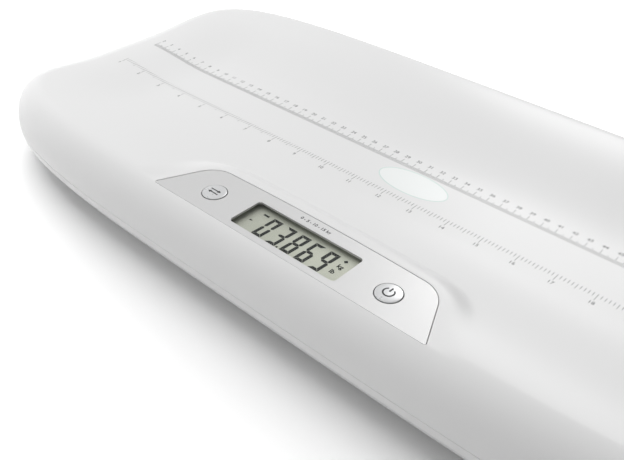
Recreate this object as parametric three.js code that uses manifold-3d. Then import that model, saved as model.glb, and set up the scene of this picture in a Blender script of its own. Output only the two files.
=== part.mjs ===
// Digital baby weighing scale: a shallow trough-shaped tray on four load cell feet, with a
// control panel let into the front rim. Millimetres. +X runs to the right along the display,
// +Y to the rear and +Z up. The origin is on the floor, under the middle of the body.
import * as THREE from 'three';
import { mergeVertices } from 'three/addons/utils/BufferGeometryUtils.js';
import Module from 'manifold-3d';

const wasm = await Module();
wasm.setup();

// Sizes of the whole body
const LENGTH = 650;
const DEPTH = 296;
const RIM_HEIGHT = 56.8; // crest of the long rims above the floor
const TRAY_HEIGHT = 40; // level middle of the tray above the floor
const TRAY_LEVEL_WIDTH = 50; // level strip along the middle of the tray
const ROLL_WIDTH = 24; // from the crest of the rim out to the widest line
const WAIST_HEIGHT = 27; // height of the widest line
const END_RISE = 5; // how far the ends of the tray rise
const END_RISE_LENGTH = 78;
const OUTLINE_POWER_SHARE = 4.6; // power of the superellipse that the plan follows
const WALL = 2.8;
const SEAM_HEIGHT = 19.2; // middle of the gap line between the two shells
const SEAM_GAP = 0.4;
const SEAM_INSET = 1; // the walls draw in by this much from the widest line to the seam
const BASE_HEIGHT = 9; // underside of the bottom cover above the floor
const BASE_EDGE_INSET = 9;
const BASE_EDGE_HEIGHT = 1.2;
const FLOOR_THICKNESS = 2.5;
const LIP_HEIGHT = 4; // tongue of the bottom cover that centres the top shell
const LIP_THICKNESS = 2;
const CLEARANCE = 0.3; // gap between pieces that seat on each other
const OVERRUN = 2; // cutters reach past the faces they cut by this much

// Sizes of the control panel and its seat in the rim
const PANEL_SETBACK = 18.6; // from the front of the body to the panel's front edge
const PANEL_DEPTH = 38.7; // at its rear corners
const PANEL_FRONT_WIDTH = 212.6;
const PANEL_REAR_WIDTH = 177.8;
const PANEL_REAR_RADIUS = 19;
const PANEL_REAR_PEAK = 3.2; // rise of the rear edge to its middle, where a long arc rounds it
const PANEL_ARC_SHARE = 0.8; // of the rear edge that the long arc takes
const PANEL_FRONT_RADIUS = 1;
const PANEL_THICKNESS = 1.5;
const PANEL_GAP = 0.35; // the fine dark line round the panel
const SEAT_THICKNESS = 1.6;
const SEAT_POCKET_INSET = 2.5; // the hollow under the seat is this much smaller than the panel
const SEAT_POCKET_DEPTH = 9;
const ISLAND_MARGIN = 5; // level border of the rim round the panel
const ISLAND_RUN = 14; // slope from that border down into the tray
const ISLAND_SINK = 0.2; // the foot of that slope lies this far under the tray's surface
const WINDOW_WIDTH = 82.4;
const WINDOW_DEPTH = 25.6;
const WINDOW_RADIUS = 2.2;
const WINDOW_SETBACK = 4.7; // from the panel's front edge to the window
const LENS_THICKNESS = 1.2;
const LENS_MARGIN = 4.4;

// Sizes of the keys
const KEY_SPACING = 138.2;
const KEY_SETBACK = 17.7; // from the panel's front edge to the middle of the keys
const KEY_RADIUS = 7.8;
const KEY_GAP = 0.55;
const KEY_PROUD = 0.9; // crown of the key above the panel
const KEY_CROWN = 0.7; // how much of that is the dome
const KEY_FLANGE_WIDTH = 1.6;
const KEY_FLANGE_THICKNESS = 1;
const KEY_TRAVEL = 0.8;
const SWITCH_WIDTH = 12;
const PLUNGER_RADIUS = 1.9;
const PLUNGER_LENGTH = 2.1;

// Sizes of the display and the circuit board
const LCD_MARGIN = 4.3; // the glass reaches this far past the window all round
const LCD_THICKNESS = 2.8;
const LCD_FRAME_WALL = 1.5;
const LCD_LEDGE = 3.2;
const STRIP_HEIGHT = 1.6;
const STRIP_WIDTH = 2.2;
const STRIP_END_GAP = 3;
const BOARD_THICKNESS = 1.6;
const BOARD_LENGTH = 172;
const BOARD_DEPTH = 36;
const BOARD_HOLE_INSET = 5;
const BOARD_BOSS_RADIUS = 3.2;
const BOARD_SCREW_RADIUS = 1.1;
const BOARD_SCREW_HEAD_RADIUS = 2.4;
const BOARD_SCREW_HEAD = 1.6;
const BOARD_SCREW_LENGTH = 5;
const HEADER_LENGTH = 110; // plug strip under the board for the six leads
const HEADER_DEPTH = 5;
const HEADER_HEIGHT = 6;
const HEADER_SETBACK = 6;
const HEADER_PITCH = 18;

// Sizes of the feet and the load cells
const FOOT_END_SETBACK = 85; // from the end of the body to the middle of a foot
const FOOT_SIDE_SETBACK = 52; // from the side of the body to the middle of a foot
const FOOT_RADIUS = 22;
const FOOT_RIM = 2.7;
const FOOT_CHAMFER = 2.5;
const FOOT_GAP = 0.7; // between the foot cup and the underside of the bottom cover
const PAD_HEIGHT = 3;
const PAD_PROUD = 1.8; // how far the rubber stands out of the cup
const PAD_CHAMFER = 0.8;
const NECK_RADIUS = 15.8;
const NECK_WALL = 2;
const NECK_HOLE_CLEARANCE = 0.7;
const HOOK_REACH = 1.5;
const HOOK_CLEARANCE = 0.4;
const HOOK_HEIGHT = 2;
const HOOK_SLOT = 4;
const STUD_RADIUS = 5;
const FOOT_TRAVEL = 0.25; // bend of the load cell at full load
const STUD_GAP = 0.05; // left above the stud at full load
const CELL_WIDTH = 38;
const CELL_THICKNESS = 1.5;
const CELL_FRAME = 4.5;
const CELL_TONGUE_WIDTH = 12;
const CELL_TONGUE_REACH = 8; // how far the tongue runs past the stud's middle
const CELL_PATCH_WIDTH = 8;
const CELL_PATCH_HEIGHT = 0.8;
const CELL_HEIGHT = 16.5; // underside of the load cell above the floor
const WELL_WALL = 2.6;
const WELL_LEDGE = 1.4;
const HOLDER_THICKNESS = 2.5;
const STAKE_OFFSET = 4; // from a well's outer face to the melted posts that hold the cell's holder
const STAKE_EAR_RADIUS = 5;
const STAKE_RADIUS = 1.6;
const STAKE_HEAD_RADIUS = 2.8;
const STAKE_HEAD = 1.2;

// Sizes of the housing screws, their bosses and the ribs
const BOSS_RADIUS = 4.6;
const BOSS_HEIGHT = 24; // where the two bosses of a housing screw meet
const BOSS_SIDE_SETBACK = 28;
const BOSS_SPACING = 268;
const BOSS_END_SETBACK = 30;
const BOSS_END_SPACING = 100;
const SCREW_RADIUS = 1.5;
const SCREW_LENGTH = 16;
const SCREW_HEAD_RADIUS = 3.2;
const SCREW_HEAD = 2.2;
const SCREW_RECESS_WALL = 2.4; // what the counterbore leaves of the lower boss
const SCREW_CROSS_WIDTH = 0.9;
const SCREW_CROSS_DEPTH = 1;
const RIB_THICKNESS = 1.6;
const TRAY_RIB_HEIGHT = 33; // lower edge of the tray's ribs above the floor
const TRAY_RIB_SPACING = 76; // between the two long ribs
const TRAY_RIB_PITCH = 95; // between the cross ribs towards each end
const TRAY_RIB_START = 150;
const FLOOR_RIB_RISE = 4;
const RIB_STEP = 0.8; // the cross ribs are this much lower than the long ones
const SKIN_SHARE = 0.45; // ribs and bosses stop this far into the wall

// Sizes of the battery bay, its door and what it holds
const BATTERY_RADIUS = 7.1;
const BATTERY_LENGTH = 49;
const BATTERY_PITCH = 15;
const BATTERY_NUB_RADIUS = 2.7;
const BATTERY_NUB = 1.4;
const BATTERY_COUNT = 4;
const BAY_WALL = 3.5;
const BAY_CEILING = 2;
const BAY_HINGE_ROOM = 4.6; // room beside the batteries for the door's knuckles
const SPRING_LENGTH = 5.4;
const SPRING_RADIUS = 3.6;
const SPRING_TIP_RADIUS = 2.6;
const SPRING_WIRE = 0.4;
const SPRING_TURNS_COUNT = 3;
const CONTACT_THICKNESS = 0.5;
const CONTACT_WIDTH = 10;
const DOOR_THICKNESS = 2;
const DOOR_LEDGE = 2;
const DOOR_GAP = 0.4;
const DOOR_HINGE_GAP = 1.1;
const DOOR_CHAMFER = 1;
const PIN_RADIUS = 0.9;
const PIN_LENGTH = 1.7;
const PIN_INSET = 1.3; // from the door's hinge edge to the pin's middle
const KNUCKLE_RADIUS = 1.5;
const KNUCKLE_LENGTH = 7;
const HINGE_CHEEK = 2.4; // from the pin's middle to the end of the wall round it
const DOOR_STEP = 3.4; // from the pin's middle to the door's wider part
const GRIP_WIDTH = 18;
const GRIP_DEPTH = 6;
const GRIP_RIB = 1;
const GRIP_RIB_COUNT = 3;
const GRIP_RIB_PROUD = 0.5;

// Sizes of the leads
const LEAD_RADIUS = 1;
const LEAD_NOTCH = 4;

// Numbers of facets
const ROUND_SIDES = 20;
const FOOT_SIDES = 18;
const SMALL_SIDES = 8;
const BATTERY_SIDES = 14;
const WIRE_SIDES = 5;
const LEAD_SIDES = 8;
const END_STATIONS_COUNT = 6;
const SIDE_STATIONS_COUNT = 5;
const ISLAND_STEPS_COUNT = 4; // steps round each corner of the island
const CROWN_STEPS_COUNT = 3;
const SPRING_TURN_STEPS_COUNT = 8;
const LEAD_STEPS_COUNT = 2; // steps from one point of a lead's route to the next
const ROLL_STEPS_COUNT = 5;
const INNER_ROLL_STEPS_COUNT = 3;
const TRAY_RING_SHARES = [0.91, 0.79, 0.66, 0.53, 0.4, 0.27, 0.17];
const INNER_TRAY_RING_SHARES = [0.79, 0.53, 0.27];
const SIDE_STATION_POWER_SHARE = 1.5; // draws the side stations together towards the corners
const CORNER_SHARE = 0.86; // where the outline's end stations hand over to its side stations

// Heights and places that follow from the sizes
const shellBottom = SEAM_HEIGHT + SEAM_GAP / 2;
const coverTop = SEAM_HEIGHT - SEAM_GAP / 2;
const floorTop = BASE_HEIGHT + FLOOR_THICKNESS;
const panelFront = PANEL_SETBACK - DEPTH / 2;
const panelTop = rollHeight(PANEL_SETBACK, RIM_HEIGHT);
const panelBottom = panelTop - PANEL_THICKNESS;
const seatTop = panelBottom - CLEARANCE;
const seatBottom = seatTop - SEAT_THICKNESS;
const windowFront = panelFront + WINDOW_SETBACK;
const windowMiddle = windowFront + WINDOW_DEPTH / 2;
const keyY = panelFront + KEY_SETBACK;
const keyHoleRadius = KEY_RADIUS + KEY_GAP;
const keyFlangeTop = seatBottom - CLEARANCE;
const keyFlangeBottom = keyFlangeTop - KEY_FLANGE_THICKNESS;
const lcdTop = seatBottom - CLEARANCE;
const lcdBottom = lcdTop - LCD_THICKNESS;
const stripTop = lcdBottom - CLEARANCE;
const boardTop = stripTop - STRIP_HEIGHT - CLEARANCE;
const boardBottom = boardTop - BOARD_THICKNESS;
const boardMiddle = windowMiddle;
const footX = LENGTH / 2 - FOOT_END_SETBACK;
const footY = DEPTH / 2 - FOOT_SIDE_SETBACK;
const cupTop = BASE_HEIGHT - FOOT_GAP;
const studTop = CELL_HEIGHT - FOOT_TRAVEL - STUD_GAP;
const cellTop = CELL_HEIGHT + CELL_THICKNESS;
const wellHalf = CELL_WIDTH / 2 + CLEARANCE + WELL_WALL;
const stakeX = wellHalf + STAKE_OFFSET;
const leadExit = cellTop - LEAD_RADIUS - 2 * CLEARANCE;
const holderBottom = cellTop + CLEARANCE;
const holderTop = holderBottom + HOLDER_THICKNESS;
const doorTop = BASE_HEIGHT + DOOR_THICKNESS;
const batteryHeight = doorTop + CLEARANCE + BATTERY_RADIUS;
const bayHalfX = (BATTERY_COUNT * BATTERY_PITCH) / 2 + CLEARANCE;
const bayHingeX = bayHalfX + BAY_HINGE_ROOM;
const bayHalfY = (BATTERY_LENGTH + BATTERY_NUB + SPRING_LENGTH) / 2 + CONTACT_THICKNESS + 3 * CLEARANCE;
const bayTop = batteryHeight + BATTERY_RADIUS + CLEARANCE;
const pinX = bayHingeX - DOOR_HINGE_GAP - PIN_INSET;
const pinZ = BASE_HEIGHT + DOOR_THICKNESS;

// Feet, cells and holders stand at the four corners
const corners = [
  { name: 'front_left', x: -footX, y: -footY, side: -1, end: -1 },
  { name: 'front_right', x: footX, y: -footY, side: -1, end: 1 },
  { name: 'rear_left', x: -footX, y: footY, side: 1, end: -1 },
  { name: 'rear_right', x: footX, y: footY, side: 1, end: 1 },
];

// Housing screws: two along each long side and two at each end
const bossPlaces = [];
for (const side of [-1, 1]) {
  for (const end of [-1, 1]) {
    bossPlaces.push([(end * BOSS_SPACING) / 2, side * (DEPTH / 2 - BOSS_SIDE_SETBACK)]);
    bossPlaces.push([end * (LENGTH / 2 - BOSS_END_SETBACK), (side * BOSS_END_SPACING) / 2]);
  }
}

// Materials
function finish(color, roughness, metalness = 0, opacity = 1) {
  return () => new THREE.MeshStandardMaterial({
    color, roughness, metalness, opacity, transparent: opacity < 1,
  });
}
const whiteGloss = finish(0xf2f3f3, 0.25);
const whiteMatte = finish(0xe6e8e8, 0.6);
const silverPaint = finish(0xd9dadb, 0.35, 0.3);
const silverCap = finish(0xe2e3e4, 0.3, 0.4);
const clearPane = finish(0xf6fafa, 0.05, 0, 0.25);
const lcdGreen = finish(0x9ca38c, 0.3);
const greyFrame = finish(0xb9bcbd, 0.6);
const darkRubber = finish(0x3a3b3c, 0.9);
const boardGreen = finish(0x2c6b45, 0.5);
const blackPlastic = finish(0x1d1e20, 0.5);
const steel = finish(0xb4b7ba, 0.35, 1);
const nickel = finish(0xc9c8c2, 0.3, 1);
const greyRubber = finish(0x8e9192, 0.85);
const leadGrey = finish(0x6f7274, 0.6);
const batteryJacket = finish(0x4a5158, 0.4, 0.2);

// Solids, joins and cuts
function facingOut(geometry) {
  const position = geometry.attributes.position;
  const index = geometry.index.array;
  const [a, b, c] = [new THREE.Vector3(), new THREE.Vector3(), new THREE.Vector3()];
  let volume = 0;
  for (let i = 0; i < index.length; i += 3) {
    a.fromBufferAttribute(position, index[i]);
    b.fromBufferAttribute(position, index[i + 1]);
    c.fromBufferAttribute(position, index[i + 2]);
    volume += a.dot(b.cross(c));
  }
  if (volume < 0) {
    for (let i = 0; i < index.length; i += 3) {
      [index[i], index[i + 1]] = [index[i + 1], index[i]];
    }
  }
  return geometry;
}

function closed(geometry) {
  const bare = geometry.clone();
  bare.deleteAttribute('normal');
  bare.deleteAttribute('uv');
  return facingOut(mergeVertices(bare));
}

function solid(geometry) {
  const body = closed(geometry);
  const vertProperties = Float32Array.from(body.attributes.position.array);
  const triVerts = Uint32Array.from(body.index.array);
  return new wasm.Manifold(new wasm.Mesh({ numProp: 3, vertProperties, triVerts }));
}

function geometryOf(body) {
  const { vertProperties, triVerts, numProp } = body.getMesh();
  const geometry = new THREE.BufferGeometry();
  geometry.setAttribute('position', new THREE.BufferAttribute(vertProperties, numProp));
  geometry.setIndex(new THREE.BufferAttribute(triVerts, 1));
  geometry.computeVertexNormals();
  return geometry;
}

function join(...geometries) {
  return geometries.map(solid).reduce((whole, next) => whole.add(next));
}

function cut(body, ...geometries) {
  return geometries.map(solid).reduce((rest, next) => rest.subtract(next), body);
}

function node(name, shape, material) {
  const geometry = shape.isBufferGeometry ? closed(shape) : geometryOf(shape);
  geometry.computeVertexNormals();
  const mesh = new THREE.Mesh(geometry, material());
  mesh.name = name;
  return mesh;
}

// Plain forms, placed by their limits
function block(x0, x1, y0, y1, z0, z1) {
  const geometry = new THREE.BoxGeometry(x1 - x0, y1 - y0, z1 - z0);
  return geometry.translate((x0 + x1) / 2, (y0 + y1) / 2, (z0 + z1) / 2);
}

function slab(width, depth, z0, z1, x = 0, y = 0) {
  return block(x - width / 2, x + width / 2, y - depth / 2, y + depth / 2, z0, z1);
}

function rod(radius, z0, z1, x = 0, y = 0, sides = SMALL_SIDES) {
  const geometry = new THREE.CylinderGeometry(radius, radius, z1 - z0, sides);
  return geometry.rotateX(Math.PI / 2).translate(x, y, (z0 + z1) / 2);
}

function turned(profile, sides) {
  const points = profile.map(([radius, z]) => new THREE.Vector2(radius, z));
  return new THREE.LatheGeometry(points, sides).rotateX(Math.PI / 2);
}

function plate(shape, z0, z1, curveSegments = 3) {
  const geometry = new THREE.ExtrudeGeometry(shape, { depth: z1 - z0, bevelEnabled: false, curveSegments });
  return geometry.translate(0, 0, z0);
}

// A closed outline through the corners [x, y, radius], given anticlockwise
function roundedShape(points) {
  const shape = new THREE.Shape();
  points.forEach(([x, y, radius], i) => {
    const here = new THREE.Vector2(x, y);
    const back = new THREE.Vector2(...points.at(i - 1).slice(0, 2)).sub(here).normalize();
    const on = new THREE.Vector2(...points[(i + 1) % points.length].slice(0, 2)).sub(here).normalize();
    const half = Math.acos(back.dot(on)) / 2;
    const centre = back.clone().add(on).normalize().multiplyScalar(radius / Math.sin(half)).add(here);
    const start = back.multiplyScalar(radius / Math.tan(half)).add(here).sub(centre);
    const end = on.multiplyScalar(radius / Math.tan(half)).add(here).sub(centre);
    shape.absarc(centre.x, centre.y, radius, start.angle(), end.angle(), false);
  });
  return shape;
}

function roundedRectangle(width, depth, radius, x = 0, y = 0) {
  const [w, d] = [width / 2, depth / 2];
  return roundedShape([
    [x - w, y - d, radius], [x + w, y - d, radius], [x + w, y + d, radius], [x - w, y + d, radius],
  ]);
}

// A closed skin over rings of equally many points, from one end point to the other
function skinOver(first, rings, last) {
  const count = rings[0].length;
  const points = [first, ...rings.flat(), last];
  const index = [];
  for (let j = 0; j < count; j += 1) {
    const next = (j + 1) % count;
    index.push(0, 1 + j, 1 + next);
    for (let i = 0; i + 1 < rings.length; i += 1) {
      const [a, b] = [1 + i * count + j, 1 + i * count + next];
      index.push(a, a + count, b, b, a + count, b + count);
    }
    const end = 1 + (rings.length - 1) * count;
    index.push(end + j, points.length - 1, end + next);
  }
  const geometry = new THREE.BufferGeometry().setFromPoints(points);
  geometry.setIndex(index);
  return geometry;
}

// The plan of the body: a superellipse, with the direction that faces out at each station
function outlineStations() {
  const power = OUTLINE_POWER_SHARE;
  const other = (share) => (1 - share ** power) ** (1 / power);
  const quarter = [];
  for (let i = 0; i < END_STATIONS_COUNT; i += 1) {
    const share = (CORNER_SHARE * i) / END_STATIONS_COUNT;
    quarter.push([other(share), share]);
  }
  for (let i = 0; i <= SIDE_STATIONS_COUNT; i += 1) {
    const share = CORNER_SHARE * (1 - (i / SIDE_STATIONS_COUNT) ** SIDE_STATION_POWER_SHARE);
    quarter.push([share, other(share)]);
  }
  const last = quarter.length - 1;
  const shares = [];
  const turns = [[1, 1, false], [-1, 1, true], [-1, -1, false], [1, -1, true]];
  for (const [signX, signY, reversed] of turns) {
    for (let i = 0; i < last; i += 1) {
      const [shareX, shareY] = quarter[reversed ? last - i : i];
      shares.push([signX * shareX, signY * shareY]);
    }
  }
  const slope = (share) => Math.sign(share) * Math.abs(share) ** (power - 1);
  return shares.map(([shareX, shareY]) => {
    const facing = new THREE.Vector2(slope(shareX) / LENGTH, slope(shareY) / DEPTH).normalize();
    return { x: (shareX * LENGTH) / 2, y: (shareY * DEPTH) / 2, facing };
  });
}
const stations = outlineStations();

// One ring of the body, inset from the plan; its height is a number or a function of the place
function ring(inset, height, scale = 1) {
  return stations.map(({ x, y, facing }) => {
    const placeX = (x - inset * facing.x) * scale;
    const placeY = (y - inset * facing.y) * scale;
    const z = typeof height === 'function' ? height(placeX, placeY) : height;
    return new THREE.Vector3(placeX, placeY, z);
  });
}

// The tray: level along the middle, rising in a smooth wave to the long rims and a little to the ends
function trayHeight(x, y) {
  const halfLevel = TRAY_LEVEL_WIDTH / 2;
  const halfRim = DEPTH / 2 - ROLL_WIDTH;
  const side = THREE.MathUtils.smoothstep(Math.abs(y), halfLevel, halfRim);
  const endCrest = LENGTH / 2 - ROLL_WIDTH;
  const end = THREE.MathUtils.smoothstep(Math.abs(x), endCrest - END_RISE_LENGTH, endCrest);
  const fall = RIM_HEIGHT - TRAY_HEIGHT;
  return RIM_HEIGHT - fall * (1 - side) * (1 - (end * END_RISE) / fall);
}

// The rolled rim: a quarter ellipse from the crest down to the widest line
function rollHeight(inset, crest) {
  const along = 1 - inset / ROLL_WIDTH;
  return WAIST_HEIGHT + (crest - WAIST_HEIGHT) * Math.sqrt(1 - along * along);
}

// Rings of the top shell's skin, a given depth under its outer face, from the bottom edge up
function shellRings(depth, bottom, rollSteps, trayShares) {
  const rings = [ring(SEAM_INSET + depth, bottom), ring(depth, WAIST_HEIGHT)];
  for (let i = 1; i <= rollSteps; i += 1) {
    const angle = ((1 - i / rollSteps) * Math.PI) / 2;
    const inset = ROLL_WIDTH * (1 - Math.sin(angle)) + depth * Math.sin(angle);
    const height = (x, y) => (
      WAIST_HEIGHT + (trayHeight(x, y) - WAIST_HEIGHT) * Math.cos(angle) - depth * Math.cos(angle)
    );
    rings.push(ring(inset, height));
  }
  for (const share of trayShares) {
    rings.push(ring(ROLL_WIDTH, (x, y) => trayHeight(x, y) - depth, share));
  }
  return rings;
}

function shellCore(depth, bottom) {
  const middle = new THREE.Vector3(0, 0, TRAY_HEIGHT - depth);
  const rings = shellRings(depth, bottom, INNER_ROLL_STEPS_COUNT, INNER_TRAY_RING_SHARES);
  return skinOver(new THREE.Vector3(0, 0, bottom), rings, middle);
}

// The panel's trapezoid outline with rounded rear corners and a bowed rear edge, grown by a margin
function panelCorners(margin, frontMargin = margin) {
  const lean = (PANEL_FRONT_WIDTH - PANEL_REAR_WIDTH) / 2 / PANEL_DEPTH;
  const front = panelFront - frontMargin;
  const rear = panelFront + PANEL_DEPTH + margin;
  const half = (y) => PANEL_FRONT_WIDTH / 2 - lean * (y - panelFront) + margin * Math.hypot(1, lean);
  const arcRadius = (PANEL_ARC_SHARE * half(rear) ** 2) / PANEL_REAR_PEAK;
  return [
    [-half(front), front, PANEL_FRONT_RADIUS],
    [half(front), front, PANEL_FRONT_RADIUS],
    [half(rear), rear, PANEL_REAR_RADIUS + margin],
    [0, rear + PANEL_REAR_PEAK, arcRadius],
    [-half(rear), rear, PANEL_REAR_RADIUS + margin],
  ];
}

function panelShape(margin, frontMargin) {
  return roundedShape(panelCorners(margin, frontMargin));
}

function windowShape(margin) {
  const radius = WINDOW_RADIUS + Math.max(margin, 0);
  return roundedRectangle(WINDOW_WIDTH + 2 * margin, WINDOW_DEPTH + 2 * margin, radius, 0, windowMiddle);
}

// Raised island of the rim that carries the panel: a level top that slopes off into the tray,
// trimmed inside the wall, over the floor of the panel's seat
function islandBlock() {
  const outline = (margin, z) => (
    panelShape(margin, 0).getPoints(ISLAND_STEPS_COUNT).map((p) => new THREE.Vector3(p.x, p.y, z))
  );
  const rear = panelFront + PANEL_DEPTH + ISLAND_MARGIN + ISLAND_RUN;
  const foot = trayHeight(0, rear) - ISLAND_SINK;
  const rings = [outline(ISLAND_MARGIN + ISLAND_RUN, foot), outline(ISLAND_MARGIN, panelTop)];
  const middleY = panelFront + PANEL_DEPTH / 2;
  const hill = skinOver(new THREE.Vector3(0, middleY, foot), rings, new THREE.Vector3(0, middleY, panelTop));
  const floor = plate(panelShape(ISLAND_MARGIN, 0), seatBottom, panelBottom);
  return cut(solid(hill), shellCore(WALL * SKIN_SHARE, shellBottom)).add(solid(floor));
}

function boardHoles() {
  const places = [];
  for (const side of [-1, 1]) {
    for (const end of [-1, 1]) {
      const x = end * (BOARD_LENGTH / 2 - BOARD_HOLE_INSET);
      places.push([x, boardMiddle + side * (BOARD_DEPTH / 2 - BOARD_HOLE_INSET)]);
    }
  }
  return places;
}

// Ribs under the tray: two long ones, and cross ribs towards each end
function trayRibs() {
  const ribs = [];
  const thick = RIB_THICKNESS / 2;
  for (const side of [-1, 1]) {
    const y = (side * TRAY_RIB_SPACING) / 2;
    ribs.push(block(-LENGTH / 2, LENGTH / 2, y - thick, y + thick, TRAY_RIB_HEIGHT, RIM_HEIGHT));
    for (let x = TRAY_RIB_START; x < LENGTH / 2 - ROLL_WIDTH; x += TRAY_RIB_PITCH) {
      const place = side * x;
      const bottom = TRAY_RIB_HEIGHT + RIB_STEP;
      ribs.push(block(place - thick, place + thick, -DEPTH / 2, DEPTH / 2, bottom, RIM_HEIGHT));
    }
  }
  return ribs;
}

function topShell() {
  const outerRings = shellRings(0, shellBottom, ROLL_STEPS_COUNT, TRAY_RING_SHARES);
  const innerRings = shellRings(WALL, shellBottom, INNER_ROLL_STEPS_COUNT, INNER_TRAY_RING_SHARES);
  const under = new THREE.Vector3(0, 0, TRAY_HEIGHT - WALL);
  const top = new THREE.Vector3(0, 0, TRAY_HEIGHT);
  let shell = solid(skinOver(under, [...innerRings.reverse(), ...outerRings], top));
  const bosses = bossPlaces.map(([x, y]) => rod(BOSS_RADIUS, BOSS_HEIGHT + CLEARANCE, RIM_HEIGHT, x, y));
  const inside = solid(shellCore(WALL * SKIN_SHARE, shellBottom));
  shell = shell.add(join(...trayRibs(), ...bosses).intersect(inside));
  shell = shell.add(islandBlock());
  const pocket = plate(panelShape(-SEAT_POCKET_INSET, OVERRUN), seatBottom - SEAT_POCKET_DEPTH, seatBottom);
  const seat = plate(panelShape(PANEL_GAP), seatTop, RIM_HEIGHT + OVERRUN);
  const pane = plate(windowShape(LENS_MARGIN + CLEARANCE), seatBottom - OVERRUN, seatTop + OVERRUN);
  const keyHoles = [-1, 1].map((side) => (
    rod(keyHoleRadius, seatBottom - OVERRUN, seatTop + OVERRUN, (side * KEY_SPACING) / 2, keyY, ROUND_SIDES)
  ));
  shell = cut(shell, pocket, seat, pane, ...keyHoles);
  const boardBosses = boardHoles().map(([x, y]) => (
    rod(BOARD_BOSS_RADIUS, boardTop + CLEARANCE, seatBottom + SEAT_THICKNESS / 2, x, y)
  ));
  shell = shell.add(join(...boardBosses));
  const boardPilots = boardHoles().map(([x, y]) => (
    rod(BOARD_SCREW_RADIUS + CLEARANCE, boardTop - OVERRUN, seatBottom, x, y)
  ));
  const pilotTop = BASE_HEIGHT + SCREW_HEAD + SCREW_LENGTH + screwSink() + CLEARANCE;
  const pilots = bossPlaces.map(([x, y]) => (
    rod(SCREW_RADIUS + CLEARANCE, BOSS_HEIGHT - OVERRUN, pilotTop, x, y)
  ));
  return cut(shell, ...boardPilots, ...pilots);
}

// The counterbore of a housing screw starts at the underside and stops short of the boss top
function screwSink() {
  return BOSS_HEIGHT - SCREW_RECESS_WALL - SCREW_HEAD - CLEARANCE - BASE_HEIGHT;
}

function bottomCover() {
  const edge = BASE_HEIGHT + BASE_EDGE_HEIGHT;
  const lipOut = SEAM_INSET + WALL + SEAM_GAP;
  const lipIn = lipOut + LIP_THICKNESS;
  const rings = [
    ring(BASE_EDGE_INSET, BASE_HEIGHT),
    ring(BASE_EDGE_INSET - LIP_THICKNESS, edge),
    ring(SEAM_INSET + SEAM_GAP / 2, coverTop),
    ring(lipOut, coverTop),
    ring(lipOut, coverTop + LIP_HEIGHT),
    ring(lipIn, coverTop + LIP_HEIGHT),
    ring(lipIn, floorTop + LIP_HEIGHT),
    ring(BASE_EDGE_INSET + LIP_THICKNESS / 2, floorTop),
  ];
  const under = new THREE.Vector3(0, 0, BASE_HEIGHT);
  const inner = new THREE.Vector3(0, 0, floorTop);
  let cover = solid(skinOver(under, rings, inner));
  const base = floorTop - FLOOR_THICKNESS / 2;
  const added = [];
  const taken = [];
  addFootWells(added, taken, base);
  addScrewBosses(added, taken, base);
  addBatteryBay(added, taken, base);
  cover = cover.add(join(...added, ...floorRibs(base)));
  return cut(cover, ...taken);
}

// A square well round each foot: a ledge for the load cell, and two melted posts that hold its holder
function addFootWells(added, taken, base) {
  const seat = CELL_WIDTH + 2 * CLEARANCE;
  const opening = CELL_WIDTH - 2 * WELL_LEDGE;
  const ledge = CELL_HEIGHT - CLEARANCE;
  for (const { x, y, side } of corners) {
    added.push(slab(seat + 2 * WELL_WALL, seat + 2 * WELL_WALL, base, cellTop, x, y));
    taken.push(slab(opening, opening, floorTop, ledge + OVERRUN, x, y));
    taken.push(slab(seat, seat, ledge, cellTop + OVERRUN, x, y));
    const hole = NECK_RADIUS + NECK_HOLE_CLEARANCE;
    taken.push(rod(hole, BASE_HEIGHT - OVERRUN, floorTop + OVERRUN, x, y, FOOT_SIDES));
    const notchEnd = y - side * (seat / 2 + WELL_WALL + OVERRUN);
    const [near, far] = [Math.min(y, notchEnd), Math.max(y, notchEnd)];
    const notchBottom = leadExit - LEAD_RADIUS - CLEARANCE;
    taken.push(block(x - LEAD_NOTCH / 2, x + LEAD_NOTCH / 2, near, far, notchBottom, cellTop + OVERRUN));
    for (const hand of [-1, 1]) {
      const earX = x + hand * stakeX;
      const headBottom = holderTop + CLEARANCE;
      added.push(rod(STAKE_EAR_RADIUS, base, cellTop, earX, y));
      added.push(rod(STAKE_RADIUS, base, headBottom + STAKE_HEAD, earX, y));
      added.push(rod(STAKE_HEAD_RADIUS, headBottom, headBottom + STAKE_HEAD, earX, y));
    }
  }
}

function addScrewBosses(added, taken, base) {
  for (const [x, y] of bossPlaces) {
    added.push(rod(BOSS_RADIUS + WALL / 2, base, BOSS_HEIGHT, x, y));
    const recess = SCREW_HEAD_RADIUS + CLEARANCE;
    taken.push(rod(recess, BASE_HEIGHT - OVERRUN, BOSS_HEIGHT - SCREW_RECESS_WALL, x, y));
    taken.push(rod(SCREW_RADIUS + CLEARANCE, BASE_HEIGHT, BOSS_HEIGHT + OVERRUN, x, y));
  }
}

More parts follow.
